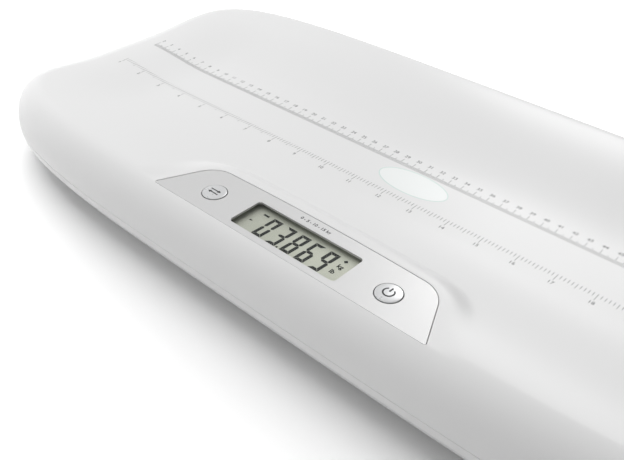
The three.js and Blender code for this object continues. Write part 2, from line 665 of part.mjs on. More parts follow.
// The bay opens downwards; the door lies in a rebate round it and swings on pins in its end walls
function addBatteryBay(added, taken, base) {
  const left = -bayHalfX;
  added.push(block(left - BAY_WALL, bayHingeX + BAY_WALL, -bayHalfY - BAY_WALL, bayHalfY + BAY_WALL,
    base, bayTop + BAY_CEILING));
  taken.push(block(left, bayHingeX, -bayHalfY, bayHalfY, BASE_HEIGHT - OVERRUN, bayTop));
  taken.push(block(left - DOOR_LEDGE, pinX - HINGE_CHEEK, -bayHalfY - DOOR_LEDGE, bayHalfY + DOOR_LEDGE,
    BASE_HEIGHT - OVERRUN, doorTop + CLEARANCE));
  const reach = bayHalfY - CLEARANCE + PIN_LENGTH + CLEARANCE;
  taken.push(alongY(rod(PIN_RADIUS + CLEARANCE, -reach, reach), pinX, 0, pinZ));
  for (const end of [-1, 1]) {
    const leadX = (end * (BATTERY_COUNT - 1) * BATTERY_PITCH) / 2;
    const hole = rod(LEAD_RADIUS + CLEARANCE, bayHalfY - OVERRUN, bayHalfY + BAY_WALL + OVERRUN);
    taken.push(alongY(hole, leadX, 0, batteryHeight));
  }
  const grip = GRIP_DEPTH / 2;
  taken.push(block(left - DOOR_LEDGE - grip, left, -GRIP_WIDTH / 2, GRIP_WIDTH / 2,
    BASE_HEIGHT - OVERRUN, doorTop - DOOR_CHAMFER));
}

function alongY(geometry, x, y, z) {
  return geometry.rotateX(Math.PI / 2).translate(x, y, z);
}

// Low ribs on the cover's floor, clear of the bay and the wells
function floorRibs(base) {
  const thick = RIB_THICKNESS / 2;
  const top = floorTop + FLOOR_RIB_RISE;
  const wellEdge = footX - CELL_WIDTH / 2;
  const bayEdge = bayHingeX + BAY_WALL / 2;
  const ribs = [];
  for (const side of [-1, 1]) {
    ribs.push(block(-footX, footX, side * footY - thick, side * footY + thick, base, top));
    const start = side * bayEdge;
    const stop = side * (LENGTH / 2 - BASE_EDGE_INSET - WALL);
    ribs.push(block(Math.min(start, stop), Math.max(start, stop), -thick, thick, base, top));
    const x = side * (wellEdge + bayEdge) / 2;
    ribs.push(block(x - thick, x + thick, -footY, footY, base, top - RIB_STEP));
  }
  return ribs;
}

// Panel group
function controlPanel() {
  const shape = panelShape(0);
  shape.holes.push(windowShape(0));
  for (const side of [-1, 1]) {
    const hole = new THREE.Path();
    hole.absarc((side * KEY_SPACING) / 2, keyY, keyHoleRadius, 0, 2 * Math.PI, false);
    shape.holes.push(hole);
  }
  return plate(shape, panelBottom, panelTop, ROUND_SIDES / 4);
}

function displayLens() {
  return plate(windowShape(LENS_MARGIN), seatTop - LENS_THICKNESS, seatTop);
}

function lcdFrame() {
  const glass = [WINDOW_WIDTH + 2 * LCD_MARGIN, WINDOW_DEPTH + 2 * LCD_MARGIN];
  const [width, depth] = glass.map((size) => size + 2 * CLEARANCE);
  const [outerWidth, outerDepth] = glass.map((size) => size + 2 * (CLEARANCE + LCD_FRAME_WALL));
  const [innerWidth, innerDepth] = glass.map((size) => size - 2 * LCD_LEDGE);
  const bottom = boardTop + CLEARANCE;
  const frame = solid(slab(outerWidth, outerDepth, bottom, lcdTop, 0, windowMiddle));
  return cut(
    frame,
    slab(width, depth, lcdBottom - CLEARANCE, lcdTop + OVERRUN, 0, windowMiddle),
    slab(innerWidth, innerDepth, bottom - OVERRUN, lcdTop, 0, windowMiddle),
  );
}

function lcdGlass() {
  const [width, depth] = [WINDOW_WIDTH + 2 * LCD_MARGIN, WINDOW_DEPTH + 2 * LCD_MARGIN];
  return slab(width, depth, lcdBottom, lcdTop, 0, windowMiddle);
}

function lcdStrip() {
  const front = windowMiddle - WINDOW_DEPTH / 2 - LCD_MARGIN + LCD_LEDGE + CLEARANCE;
  const half = WINDOW_WIDTH / 2 + LCD_MARGIN - LCD_LEDGE - STRIP_END_GAP;
  return block(-half, half, front, front + STRIP_WIDTH, boardTop + CLEARANCE, stripTop);
}

function circuitBoard() {
  const board = solid(slab(BOARD_LENGTH, BOARD_DEPTH, boardBottom, boardTop, 0, boardMiddle));
  const holes = boardHoles().map(([x, y]) => (
    rod(BOARD_SCREW_RADIUS + CLEARANCE, boardBottom - OVERRUN, boardTop + OVERRUN, x, y)
  ));
  return cut(board, ...holes);
}

function boardScrew() {
  const top = boardBottom - CLEARANCE;
  return turned([
    [0, top - BOARD_SCREW_HEAD], [BOARD_SCREW_HEAD_RADIUS, top - BOARD_SCREW_HEAD],
    [BOARD_SCREW_HEAD_RADIUS, top], [BOARD_SCREW_RADIUS, top],
    [BOARD_SCREW_RADIUS, top + BOARD_SCREW_LENGTH], [0, top + BOARD_SCREW_LENGTH],
  ], SMALL_SIDES);
}

const headerY = boardMiddle + BOARD_DEPTH / 2 - HEADER_SETBACK;
const headerTop = boardBottom - CLEARANCE;
const headerBottom = headerTop - HEADER_HEIGHT;

function boardHeader() {
  return slab(HEADER_LENGTH, HEADER_DEPTH, headerBottom, headerTop, 0, headerY);
}

// Keys, built at their own middle
function keyCap() {
  const shoulder = panelTop + KEY_PROUD - KEY_CROWN;
  const crown = [];
  for (let i = 0; i <= CROWN_STEPS_COUNT; i += 1) {
    const angle = (i / CROWN_STEPS_COUNT) * Math.PI / 2;
    crown.push([KEY_RADIUS * Math.cos(angle), shoulder + KEY_CROWN * Math.sin(angle)]);
  }
  const flange = KEY_RADIUS + KEY_FLANGE_WIDTH;
  crown[crown.length - 1][0] = 0;
  return turned([
    [0, keyFlangeBottom], [flange, keyFlangeBottom],
    [flange, keyFlangeTop], [KEY_RADIUS, keyFlangeTop], ...crown,
  ], ROUND_SIDES);
}

const plungerTop = keyFlangeBottom - CLEARANCE;
const switchTop = keyFlangeBottom - KEY_TRAVEL - CLEARANCE;
const switchBottom = boardTop + CLEARANCE;

function keySwitch() {
  const body = solid(slab(SWITCH_WIDTH, SWITCH_WIDTH, switchBottom, switchTop));
  const bottom = plungerTop - PLUNGER_LENGTH - KEY_TRAVEL - CLEARANCE;
  const bore = rod(PLUNGER_RADIUS + CLEARANCE, bottom, panelTop);
  return cut(body, bore);
}

function switchPlunger() {
  return rod(PLUNGER_RADIUS, plungerTop - PLUNGER_LENGTH, plungerTop);
}

// Feet, built at their own middle
function footPad() {
  const radius = FOOT_RADIUS - FOOT_RIM - CLEARANCE;
  return turned([
    [0, 0], [radius - PAD_CHAMFER, 0], [radius, PAD_CHAMFER], [radius, PAD_HEIGHT], [0, PAD_HEIGHT],
  ], FOOT_SIDES);
}

function footCup() {
  const recess = PAD_HEIGHT + CLEARANCE;
  const inner = FOOT_RADIUS - FOOT_RIM;
  const hookBottom = floorTop + HOOK_CLEARANCE;
  const hookTop = hookBottom + HOOK_HEIGHT;
  const hook = NECK_RADIUS + HOOK_REACH;
  const hollow = recess + FOOT_RIM;
  const cup = solid(turned([
    [0, recess], [inner, recess], [inner, PAD_PROUD], [FOOT_RADIUS, PAD_PROUD],
    [FOOT_RADIUS, cupTop - FOOT_CHAMFER], [FOOT_RADIUS - FOOT_CHAMFER, cupTop],
    [NECK_RADIUS, cupTop], [NECK_RADIUS, hookBottom], [hook, hookBottom],
    [NECK_RADIUS, hookTop], [NECK_RADIUS - NECK_WALL, hookTop], [NECK_RADIUS - NECK_WALL, hollow],
    [STUD_RADIUS, hollow], [STUD_RADIUS, studTop], [0, studTop],
  ], FOOT_SIDES));
  const slots = [0, 1, 2, 3].map((quarter) => (
    block(STUD_RADIUS + NECK_WALL, hook + OVERRUN, -HOOK_SLOT / 2, HOOK_SLOT / 2,
      cupTop + OVERRUN / 2, hookTop + OVERRUN).rotateZ((quarter * Math.PI) / 2)
  ));
  return cut(cup, ...slots);
}

function loadCell(side) {
  const half = CELL_WIDTH / 2;
  const inner = half - CELL_FRAME;
  const tongue = CELL_TONGUE_WIDTH / 2;
  const shape = new THREE.Shape([
    new THREE.Vector2(-half, -half), new THREE.Vector2(half, -half),
    new THREE.Vector2(half, half), new THREE.Vector2(-half, half),
  ]);
  shape.holes.push(new THREE.Path([
    new THREE.Vector2(-inner, -inner), new THREE.Vector2(-inner, inner), new THREE.Vector2(-tongue, inner),
    new THREE.Vector2(-tongue, -CELL_TONGUE_REACH), new THREE.Vector2(tongue, -CELL_TONGUE_REACH),
    new THREE.Vector2(tongue, inner), new THREE.Vector2(inner, inner), new THREE.Vector2(inner, -inner),
  ]));
  const patchY = (inner + STUD_RADIUS) / 2;
  const patchBottom = cellTop - CELL_THICKNESS / 2;
  const patch = slab(CELL_PATCH_WIDTH, CELL_PATCH_WIDTH, patchBottom, cellTop + CELL_PATCH_HEIGHT, 0, patchY);
  const cell = join(plate(shape, CELL_HEIGHT, cellTop), patch);
  return side > 0 ? geometryOf(cell).rotateZ(Math.PI) : geometryOf(cell);
}

function cellHolder() {
  const width = CELL_WIDTH + 2 * (CLEARANCE + WELL_WALL);
  const opening = CELL_WIDTH - 2 * CELL_FRAME;
  const parts = [slab(width, width, holderBottom, holderTop)];
  const holes = [slab(opening, opening, holderBottom - OVERRUN, holderTop + OVERRUN)];
  for (const hand of [-1, 1]) {
    const x = hand * stakeX;
    parts.push(rod(STAKE_EAR_RADIUS, holderBottom, holderTop, x, 0));
    holes.push(rod(STAKE_RADIUS + CLEARANCE, holderBottom - OVERRUN, holderTop + OVERRUN, x, 0));
  }
  return cut(join(...parts), ...holes);
}

// Housing screw, head down in its counterbore, with a cross recess
function housingScrew() {
  const headBottom = BASE_HEIGHT + screwSink();
  const headTop = headBottom + SCREW_HEAD;
  const cross = [0, 1].map((turn) => (
    slab(SCREW_HEAD_RADIUS, SCREW_CROSS_WIDTH, headBottom - OVERRUN, headBottom + SCREW_CROSS_DEPTH)
      .rotateZ((turn * Math.PI) / 2)
  ));
  const blank = solid(turned([
    [0, headBottom], [SCREW_HEAD_RADIUS, headBottom], [SCREW_HEAD_RADIUS, headTop], [SCREW_RADIUS, headTop],
    [SCREW_RADIUS, headTop + SCREW_LENGTH], [0, headTop + SCREW_LENGTH],
  ], SMALL_SIDES));
  return cut(blank, ...cross);
}

// Battery door with its pins, knuckles and finger grip; its narrower hinge end turns up into the bay
function batteryDoor() {
  const left = -bayHalfX - DOOR_LEDGE + DOOR_GAP;
  const right = bayHingeX - DOOR_HINGE_GAP;
  const half = bayHalfY + DOOR_LEDGE - DOOR_GAP;
  const hingeHalf = bayHalfY - CLEARANCE;
  const step = pinX - DOOR_STEP;
  const section = new THREE.Shape([
    new THREE.Vector2(step - OVERRUN, BASE_HEIGHT), new THREE.Vector2(right - DOOR_CHAMFER, BASE_HEIGHT),
    new THREE.Vector2(right, BASE_HEIGHT + DOOR_CHAMFER), new THREE.Vector2(right, doorTop),
    new THREE.Vector2(step - OVERRUN, doorTop),
  ]);
  const hingeEnd = plate(section, -hingeHalf, hingeHalf).rotateX(Math.PI / 2);
  const parts = [block(left, step, -half, half, BASE_HEIGHT, doorTop), hingeEnd];
  for (const side of [-1, 1]) {
    const outer = side * (bayHalfY - CLEARANCE);
    const inner = outer - side * KNUCKLE_LENGTH;
    const tip = outer + side * PIN_LENGTH;
    for (const [radius, end] of [[KNUCKLE_RADIUS, outer], [PIN_RADIUS, tip]]) {
      parts.push(alongY(rod(radius, -Math.max(inner, end), -Math.min(inner, end)), pinX, 0, pinZ));
    }
  }
  for (let i = 0; i < GRIP_RIB_COUNT; i += 1) {
    const x = left + GRIP_DEPTH / 2 + 2 * GRIP_RIB * i;
    parts.push(block(x, x + GRIP_RIB, -GRIP_WIDTH / 2, GRIP_WIDTH / 2,
      BASE_HEIGHT - GRIP_RIB_PROUD, BASE_HEIGHT + GRIP_RIB_PROUD));
  }
  return join(...parts);
}

// Cells lie side by side along Y and point the other way by turns
const cellPlaces = [];
for (let i = 0; i < BATTERY_COUNT; i += 1) {
  const x = (i - (BATTERY_COUNT - 1) / 2) * BATTERY_PITCH;
  cellPlaces.push({ x, facing: i % 2 === 0 ? 1 : -1 });
}
const contactFace = bayHalfY - CLEARANCE - CONTACT_THICKNESS;

function battery({ x, facing }) {
  const tip = contactFace - CLEARANCE;
  const shoulder = tip - BATTERY_NUB;
  const profile = [
    [0, shoulder - BATTERY_LENGTH], [BATTERY_RADIUS, shoulder - BATTERY_LENGTH], [BATTERY_RADIUS, shoulder],
    [BATTERY_NUB_RADIUS, shoulder], [BATTERY_NUB_RADIUS, tip], [0, tip],
  ];
  return turned(profile, BATTERY_SIDES).rotateX((-facing * Math.PI) / 2).translate(x, 0, batteryHeight);
}

class SpringCurve extends THREE.Curve {
  getPoint(t) {
    const angle = t * 2 * Math.PI * SPRING_TURNS_COUNT;
    const radius = THREE.MathUtils.lerp(SPRING_RADIUS, SPRING_TIP_RADIUS, t);
    const rise = t * (SPRING_LENGTH - SPRING_WIRE);
    return new THREE.Vector3(radius * Math.cos(angle), rise, radius * Math.sin(angle));
  }
}

// Spring on the plate behind a cell's flat end
function batterySpring({ x, facing }) {
  const coil = new THREE.ExtrudeGeometry(wireSection(SPRING_WIRE, WIRE_SIDES), {
    steps: SPRING_TURN_STEPS_COUNT * SPRING_TURNS_COUNT, bevelEnabled: false, extrudePath: new SpringCurve(),
  });
  if (facing < 0) coil.rotateZ(Math.PI);
  return coil.translate(x, -facing * contactFace, batteryHeight);
}

function wireSection(radius, sides) {
  const circle = new THREE.Shape();
  circle.absarc(0, 0, radius, 0, 2 * Math.PI, false);
  return new THREE.Shape(circle.getSpacedPoints(sides).slice(0, sides));
}

// The cells are in series: each contact joins two neighbours, and the two end ones stand alone
function batteryContact(cells, side) {
  const half = CONTACT_WIDTH / 2;
  const [near, far] = [contactFace, contactFace + CONTACT_THICKNESS].map((y) => side * y);
  const sheet = block(cells[0].x - half, cells.at(-1).x + half, Math.min(near, far), Math.max(near, far),
    batteryHeight - half, batteryHeight + half);
  return join(sheet, ...cells.filter((cell) => cell.facing !== side).map(batterySpring));
}

// Leads from the load cells and the battery bay up to the header under the board
const LEAD_HEIGHT = 24; // the leads cross the inside at this height
const LEAD_LANE_FRONT = 66; // distance in front of the middle where the front leads run
const LEAD_LANE_REAR = 48;
const LEAD_BEND = 14;
const LEAD_RISE = 3.5; // climb of a lead before it turns up to the header
const LEAD_TURN_OFFSET = 56; // from the bay's end to where a cell's lead turns in
const cellLeads = corners.map((corner, i) => ({
  corner,
  pin: [-5, 5, -3, 3][i],
  lane: corner.side < 0 ? -LEAD_LANE_FRONT : LEAD_LANE_REAR,
}));

function headerEnd(pin) {
  const x = (pin * HEADER_PITCH) / 2;
  return [[x, headerY, headerBottom - LEAD_BEND / 2], [x, headerY, headerBottom - CLEARANCE]];
}

function cellLead({ corner, pin, lane }) {
  const { x, y, side, end } = corner;
  const start = y - side * (CELL_WIDTH / 2 + CLEARANCE);
  return tube([
    [x, start, leadExit],
    [x, start - side * LEAD_BEND / 2, leadExit],
    [x - end * LEAD_BEND, start - side * LEAD_BEND, LEAD_HEIGHT],
    [end * (bayHingeX + LEAD_TURN_OFFSET), lane, LEAD_HEIGHT],
    [end * (bayHingeX + LEAD_TURN_OFFSET / 2), lane - LEAD_BEND, LEAD_HEIGHT],
    [(pin * HEADER_PITCH) / 2 + end * LEAD_BEND, headerY + 2 * LEAD_BEND, LEAD_HEIGHT + LEAD_RISE],
    ...headerEnd(pin),
  ]);
}

// The bay's two leads pass through its front wall to the end contacts
function batteryLead(cell, pin) {
  const wall = -bayHalfY;
  return tube([
    [cell.x, wall + CLEARANCE - PIN_LENGTH / 2, batteryHeight],
    [cell.x, wall - BAY_WALL - LEAD_RISE, batteryHeight],
    [cell.x, wall - LEAD_BEND, LEAD_HEIGHT],
    [(pin * HEADER_PITCH) / 2, headerY + LEAD_BEND, LEAD_HEIGHT + LEAD_RISE],
    ...headerEnd(pin),
  ]);
}

// A route whose steps are shared out evenly between its points
class LeadRoute extends THREE.CatmullRomCurve3 {
  getUtoTmapping(u) {
    return u;
  }
}

function tube(places) {
  const points = places.map((place) => new THREE.Vector3(...place));
  return new THREE.ExtrudeGeometry(wireSection(LEAD_RADIUS, LEAD_SIDES), {
    steps: LEAD_STEPS_COUNT * (points.length - 1),
    bevelEnabled: false,
    extrudePath: new LeadRoute(points, false, 'centripetal'),
  });
}

// Assembly
const scale = new THREE.Group();
scale.add(node('top_shell', topShell(), whiteGloss));
scale.add(node('bottom_cover', bottomCover(), whiteMatte));
scale.add(node('control_panel', controlPanel(), silverPaint));
scale.add(node('display_lens', displayLens(), clearPane));
scale.add(node('lcd_frame', lcdFrame(), greyFrame));
scale.add(node('lcd_glass', lcdGlass(), lcdGreen));
scale.add(node('lcd_contact_strip', lcdStrip(), darkRubber));
scale.add(node('circuit_board', circuitBoard(), boardGreen));
scale.add(node('board_header', boardHeader(), whiteMatte));
boardHoles().forEach(([x, y], i) => {
  const screw = node(`board_screw_${i + 1}`, boardScrew(), steel);
  screw.position.set(x, y, 0);
  scale.add(screw);
});

for (const [name, side] of [['unit', -1], ['power', 1]]) {
  const key = new THREE.Group();
  key.position.set((side * KEY_SPACING) / 2, keyY, 0);
  key.add(node(`${name}_button`, keyCap(), silverCap));
  key.add(node(`${name}_switch`, keySwitch(), blackPlastic));
  key.add(node(`${name}_switch_plunger`, switchPlunger(), whiteMatte));
  scale.add(key);
}

for (const { name, x, y, side } of corners) {
  const foot = new THREE.Group();
  foot.position.set(x, y, 0);
  foot.add(node(`foot_pad_${name}`, footPad(), greyRubber));
  foot.add(node(`foot_cup_${name}`, footCup(), whiteMatte));
  foot.add(node(`load_cell_${name}`, loadCell(side), steel));
  foot.add(node(`load_cell_holder_${name}`, cellHolder(), whiteMatte));
  scale.add(foot);
}
bossPlaces.forEach(([x, y], i) => {
  const screw = node(`housing_screw_${i + 1}`, housingScrew(), steel);
  screw.position.set(x, y, 0);
  scale.add(screw);
});

scale.add(node('battery_door', batteryDoor(), whiteMatte));
cellPlaces.forEach((place, i) => {
  scale.add(node(`battery_${i + 1}`, battery(place), batteryJacket));
});
const [cell1, cell2, cell3, cell4] = cellPlaces;
scale.add(node('battery_contact_negative', batteryContact([cell1], -1), nickel));
scale.add(node('battery_contact_link_1', batteryContact([cell1, cell2], 1), nickel));
scale.add(node('battery_contact_link_2', batteryContact([cell2, cell3], -1), nickel));
scale.add(node('battery_contact_link_3', batteryContact([cell3, cell4], 1), nickel));
scale.add(node('battery_contact_positive', batteryContact([cell4], -1), nickel));
scale.add(node('battery_lead_negative', batteryLead(cell1, -1), leadGrey));
scale.add(node('battery_lead_positive', batteryLead(cell4, 1), leadGrey));
for (const route of cellLeads) {
  scale.add(node(`load_cell_lead_${route.corner.name}`, cellLead(route), leadGrey));
}

export default scale;
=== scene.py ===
"""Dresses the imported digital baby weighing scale: smooth shells, panel, keys, display, prints and feet.

Sizes in this file are millimetres, in the frame of the CAD model; meshes come to metres as they are made.
"""
import math

import bmesh
import bpy
import numpy as np
from mathutils import Matrix, Vector


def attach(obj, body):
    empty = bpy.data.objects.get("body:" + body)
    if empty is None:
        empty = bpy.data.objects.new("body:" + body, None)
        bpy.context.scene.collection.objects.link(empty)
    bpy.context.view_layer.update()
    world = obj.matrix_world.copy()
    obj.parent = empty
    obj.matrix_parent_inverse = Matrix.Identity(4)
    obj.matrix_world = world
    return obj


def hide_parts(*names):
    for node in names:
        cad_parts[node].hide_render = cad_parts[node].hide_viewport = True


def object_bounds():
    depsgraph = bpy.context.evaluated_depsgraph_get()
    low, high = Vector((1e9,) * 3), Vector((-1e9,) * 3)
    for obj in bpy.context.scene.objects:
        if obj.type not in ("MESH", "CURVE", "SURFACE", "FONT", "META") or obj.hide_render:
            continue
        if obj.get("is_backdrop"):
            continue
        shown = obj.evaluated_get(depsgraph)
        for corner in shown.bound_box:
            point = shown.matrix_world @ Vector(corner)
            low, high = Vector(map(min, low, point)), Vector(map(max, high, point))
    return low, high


bl_info = {
    "name": "Digital baby weighing scale",
    "version": (1, 0, 0),
    "blender": (4, 5, 0),
    "location": "3D View > Sidebar > Scale",
    "description": "Builds the looks of a baby weighing scale round its CAD frame",
    "category": "Add Mesh",
}

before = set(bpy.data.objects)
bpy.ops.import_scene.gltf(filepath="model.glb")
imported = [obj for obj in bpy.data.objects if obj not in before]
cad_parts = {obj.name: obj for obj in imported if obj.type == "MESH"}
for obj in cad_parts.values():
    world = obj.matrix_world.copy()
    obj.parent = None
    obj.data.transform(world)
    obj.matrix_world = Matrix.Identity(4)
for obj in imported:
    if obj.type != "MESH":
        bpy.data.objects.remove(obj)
CAD_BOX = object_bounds()
MM = 0.001

# Body, as in the CAD model; the undercut is given by its insets and heights
LENGTH, DEPTH = 650.0, 296.0
RIM_HEIGHT, TRAY_HEIGHT, TRAY_HALF_LEVEL = 56.8, 40.0, 25.0
ROLL_WIDTH, WAIST_HEIGHT = 24.0, 27.0
END_RISE, END_RISE_LENGTH = 5.0, 78.0
OUTLINE_POWER = 4.6
WALL, SEAM_INSET, CLEARANCE, SKIN_DEPTH = 2.8, 1.0, 0.3, 1.26
SHELL_BOTTOM, COVER_TOP, SEAM_ROUNDING, WAIST_LINE = 19.4, 19.0, 0.5, 0.3
BASE_HEIGHT, FLOOR_TOP, WELL_BASE = 9.0, 11.5, 10.25
LIP_OUT, LIP_IN, LIP_TOP, LIP_BEVEL, COVER_RIB_HEIGHT, COVER_RIB_END = 4.2, 6.2, 23.0, 0.4, 4, 12
UNDERCUT = ((9.6, BASE_HEIGHT), (8.6, BASE_HEIGHT + 0.15), (7.7, BASE_HEIGHT + 0.6), (7.0, BASE_HEIGHT + 1.3),
            (5.9, 11.4), (4.9, 13.3), (4.0, 15.2), (3.3, 17.1), (3.0, 18.2), (2.9, 18.7), (3.0, 18.92),
            (3.2, COVER_TOP))
BOSS_PLACES = [(side * x, end * y) for side in (-1, 1) for end in (-1, 1) for x, y in ((134, 120), (295, 50))]
BOSS_RADIUS, COVER_BOSS_RADIUS, BOSS_MEET, HEAD_FLOOR = 4.6, 6.0, 24.0, 2.4
SINK, HEAD_RADIUS, HEAD_HEIGHT, SHANK_RADIUS, SHANK_LENGTH = 10.1, 3.2, 2.2, 1.5, 16.0
RIB_HALF, TRAY_RIB_BOTTOM, TRAY_RIB_Y, TRAY_RIB_X = 0.8, 33.0, 38.0, (150, 245)

# Control panel and its seat
PANEL_FRONT, PANEL_REAR, PANEL_THICKNESS = -129.4, -90.7, 1.5
PANEL_FRONT_WIDTH, PANEL_REAR_WIDTH, PANEL_REAR_RADIUS, PANEL_FRONT_RADIUS = 212.6, 177.8, 19.0, 1.0
PANEL_REAR_PEAK, PANEL_ARC_SHARE = 3.2, 0.8
PANEL_GAP, ISLAND_MARGIN, ISLAND_SHELF, ISLAND_RUN = 0.35, 5.0, 2.5, 17.5
SEAT_THICKNESS, POCKET_INSET, POCKET_DEPTH = 1.6, 2.5, 9.0
WINDOW_WIDTH, WINDOW_DEPTH, WINDOW_RADIUS, WINDOW_MIDDLE = 82.4, 25.6, 2.2, -111.9
LENS_MARGIN, LENS_THICKNESS, LCD_MARGIN, LCD_THICKNESS = 4.4, 1.2, 4.3, 2.8
KEY_X, KEY_Y, KEY_RADIUS, KEY_GAP, KEY_PROUD, KEY_CROWN = 69.1, -111.7, 7.8, 0.55, 0.9, 0.7
KEY_FLANGE, KEY_FLANGE_THICKNESS = 1.6, 1.0
BOARD_HOLES = [(side * 81, -111.9 + end * 13) for side in (-1, 1) for end in (-1, 1)]
BOARD_TOP, BOARD_BOTTOM, BOARD_BOSS_RADIUS, BOARD_PILOT_RADIUS = 47.34, 45.74, 3.2, 1.4
SEAT_BEVEL, WINDOW_BEVEL, WINDOW_PLAY, PLATE_BEVEL, HOLE_BEVEL, FLANGE_BEVEL = 0.3, 0.12, 0.3, 0.15, 0.12, 0.2

# Marks on the keys: a ring with a stem, and two arrows; and the numbers on the panel
MARK_THICKNESS, MARK_SUNK, MARK_DEPTH = 0.1, 0.04, 0.075
RING_RADIUS, RING_FROM, RING_TO, RING_STROKE, STEM_FOOT, STEM_TIP = 3.25, 125, 415, 0.95, 0.5, 4.1
ARROW_TAIL, ARROW_NECK, ARROW_BARB, ARROW_TIP = 4.1, 2.3, 1.9, 4.3
ARROW_Y, ARROW_HALF, ARROW_STROKE = 1.35, 1.3, 0.85
RANGE_TEXT, RANGE_HEIGHT, RANGE_Y = "0 - 5 - 10 - 15 kg", 2.5, -93.7

# Feet, wells and battery bay
FOOT_X, FOOT_Y, FOOT_RADIUS, PAD_RADIUS, NECK_RADIUS = 240.0, 96.0, 22.0, 19.0, 15.8
CORNERS = {"front_left": (-1, -1), "front_right": (1, -1), "rear_left": (-1, 1), "rear_right": (1, 1)}
CUP_LOW, CUP_EDGE, CUP_FLOOR, CUP_SHOULDER, CUP_ROUNDING, CUP_TOP = 1.8, 0.9, 3.3, 5.8, 2.5, 8.3
NECK_FLOOR, NECK_TOP, NECK_WALL, HOOK_REACH, HOOK_RISE, PLUG_RADIUS = 6.0, 11.9, 2, 1.5, 2.4, 5.0
SLOT_FROM, SLOT_TO, SLOT_HALF, SLOT_BOTTOM = 7, 20, 2, 9.3
PAD_TOP, PAD_EDGE, PAD_FLAT, PAD_GROOVES, GROOVE_HALF, GROOVE_FLOOR = 3.0, 0.8, 1.2, (5, 8, 11, 14), 0.5, 0.3
CELL_TOP, CELL_SEAT, WELL_HALF, WELL_POCKET, CELL_POCKET, NECK_HOLE = 18.0, 16.2, 21.9, 17.6, 19.3, 16.5
NOTCH_HALF, NOTCH_BOTTOM = 2, 15.1
STAKE_X, STAKE_TOP, STAKE_HEAD_BOTTOM = 25.9, 22.3, 21.1
STAKE_FOOT_RADIUS, STAKE_RADIUS, STAKE_HEAD_RADIUS = 5, 1.6, 2.8
BAY_LEFT, BAY_RIGHT, BAY_HALF, BAY_TOP, BAY_WALL, DOOR_LEDGE = -30.3, 34.9, 29.3, 25.8, 3.5, 2.0
DOOR_TOP, DOOR_GAP, DOOR_HINGE_GAP = 11.0, 0.4, 1.1
BATTERY_RADIUS, BATTERY_Z, BATTERY_X = 7.1, 18.4, (-22.5, -7.5, 7.5, 22.5)
PIN_X, PIN_Z, PIN_RADIUS, KNUCKLE_RADIUS, KNUCKLE_LENGTH, PIN_LENGTH = 32.5, 11.0, 0.9, 1.5, 7.0, 1.7
HINGE_CHEEK, DOOR_STEP, DOOR_LAP, DOOR_CORNER, DOOR_BEVEL = 2.4, 3.4, 8, 1.2, 0.4
GRIP_HALF, GRIP_SETBACK, GRIP_RIB = 9, 3, 1
BATTERY_CAN, BATTERY_NUB, BATTERY_PLAY, BATTERY_FACE = 49, 1.4, 0.5, 6.35
PLATE_WIDTH, PLATE_THICKNESS, PLATE_CORNER = 10.0, 0.5, 1.2
SPRING_TURNS, SPRING_BASE, SPRING_TIP, SPRING_LENGTH, SPRING_WIRE = 3.0, 3.6, 2.6, 5.0, 0.4
LEAD_RADIUS, LEAD_BEND, LEAD_HEIGHT, LEAD_EXIT, LEAD_PINS = 1.0, 14.0, 24.0, 16.4, (-5, 5, -3, 3)
HEADER_Y, HEADER_BOTTOM = -99.9, 39.436

# Routes of the leads: where they leave a cell, the lanes along the body, and the pins of the header
CELL_LEAD_SETBACK, LEAD_LANES, LANE_START, LANE_END, PIN_PITCH = 19.3, {-1: -66, 1: 48}, 90.9, 62.9, 9
LEAD_RISE, LEAD_JOIN = 3.5, 0.55

# Digits of the display, from the foot of each digit
DIGITS = {"0": "ABCDEF", "1": "BC", "2": "ABDEG", "3": "ABCDG", "4": "BCFG", "5": "ACDFG", "6": "ACDEFG",
          "7": "ABC", "8": "ABCDEFG", "9": "ABCDFG"}
DIGIT_X = (-26.6, -14.9, -3.5, 7.7, 19.0)
DIGIT_Y, DIGIT_HEIGHT, DIGIT_WIDTH, DIGIT_STROKE, DIGIT_SLANT, DIGIT_GAP = -121.6, 19.5, 7.5, 2.25, 1.1, 0.12
POINT_SIZE, POINT_GAP = 1.3, 1.7
# Strength and reach in X and Y of the shadow painted on the display's ground by the window's edges, and the depth of
# the grain
DISPLAY_PAINTED_SHADOW, PAINTED_SHADOW_REACH_X, PAINTED_SHADOW_REACH_Y, GRAIN_DEPTH = 0.26, 60, 9, 0.2

# Units and signs of the display: the outline from its foot, and its place
UNIT_HEIGHT, DISPLAY_UNITS = 3.3, (("kg", 33.2, -109.4), ("lb", 32.4, -115.6))
DISPLAY_SIGNS = (([(0, 0), (4.4, 0), (4.4, 1.5), (0, 1.5)], -33.6, -104.2),
                 ([(0, 0), (2.4, 0.8), (0, 1.6)], -36.4, -113.6),
                 ([(0, 0), (1.5, 1.5), (0, 3.0), (-1.5, 1.5)], 32.6, -105.4))

# Printed rulers: their common zero and the span that is printed
ZERO_X, CENTIMETRE, INCH = -311.7, 10.0, 25.4
CENTIMETRES, INCHES = (2, 59), (1, 23)
OVAL_X, OVAL_Y, OVAL_WIDTH, OVAL_DEPTH, OVAL_LINE = 1.5, 1.8, 54.4, 25.0, 0.6
PRINT_THICKNESS, PRINT_SUNK, OVAL_PROUD = 0.05, 0.05, 0.03

# Name, printed numbers, pitch, edge, side, lengths of the ticks and place of the numbers
RULERS = (("inch", INCHES, INCH, -16.0, -1, (3.5, 4.8, 6.5), -25.4),
          ("centimetre", CENTIMETRES, CENTIMETRE, 15.5, 1, (3.6, 5.2, 7.6), 26.8))

# Inputs of the screws' tree, and their values in the same order
SCREW_LABELS = ("Head Radius", "Head Height", "Shank Radius", "Length", "Recess Width", "Recess Depth")
HOUSING_SCREW = (HEAD_RADIUS, HEAD_HEIGHT, SHANK_RADIUS, SHANK_LENGTH, 0.9, 1.0)
BOARD_SCREW = (2.4, 1.6, 1.1, 5.0, 0.7, 0.8)

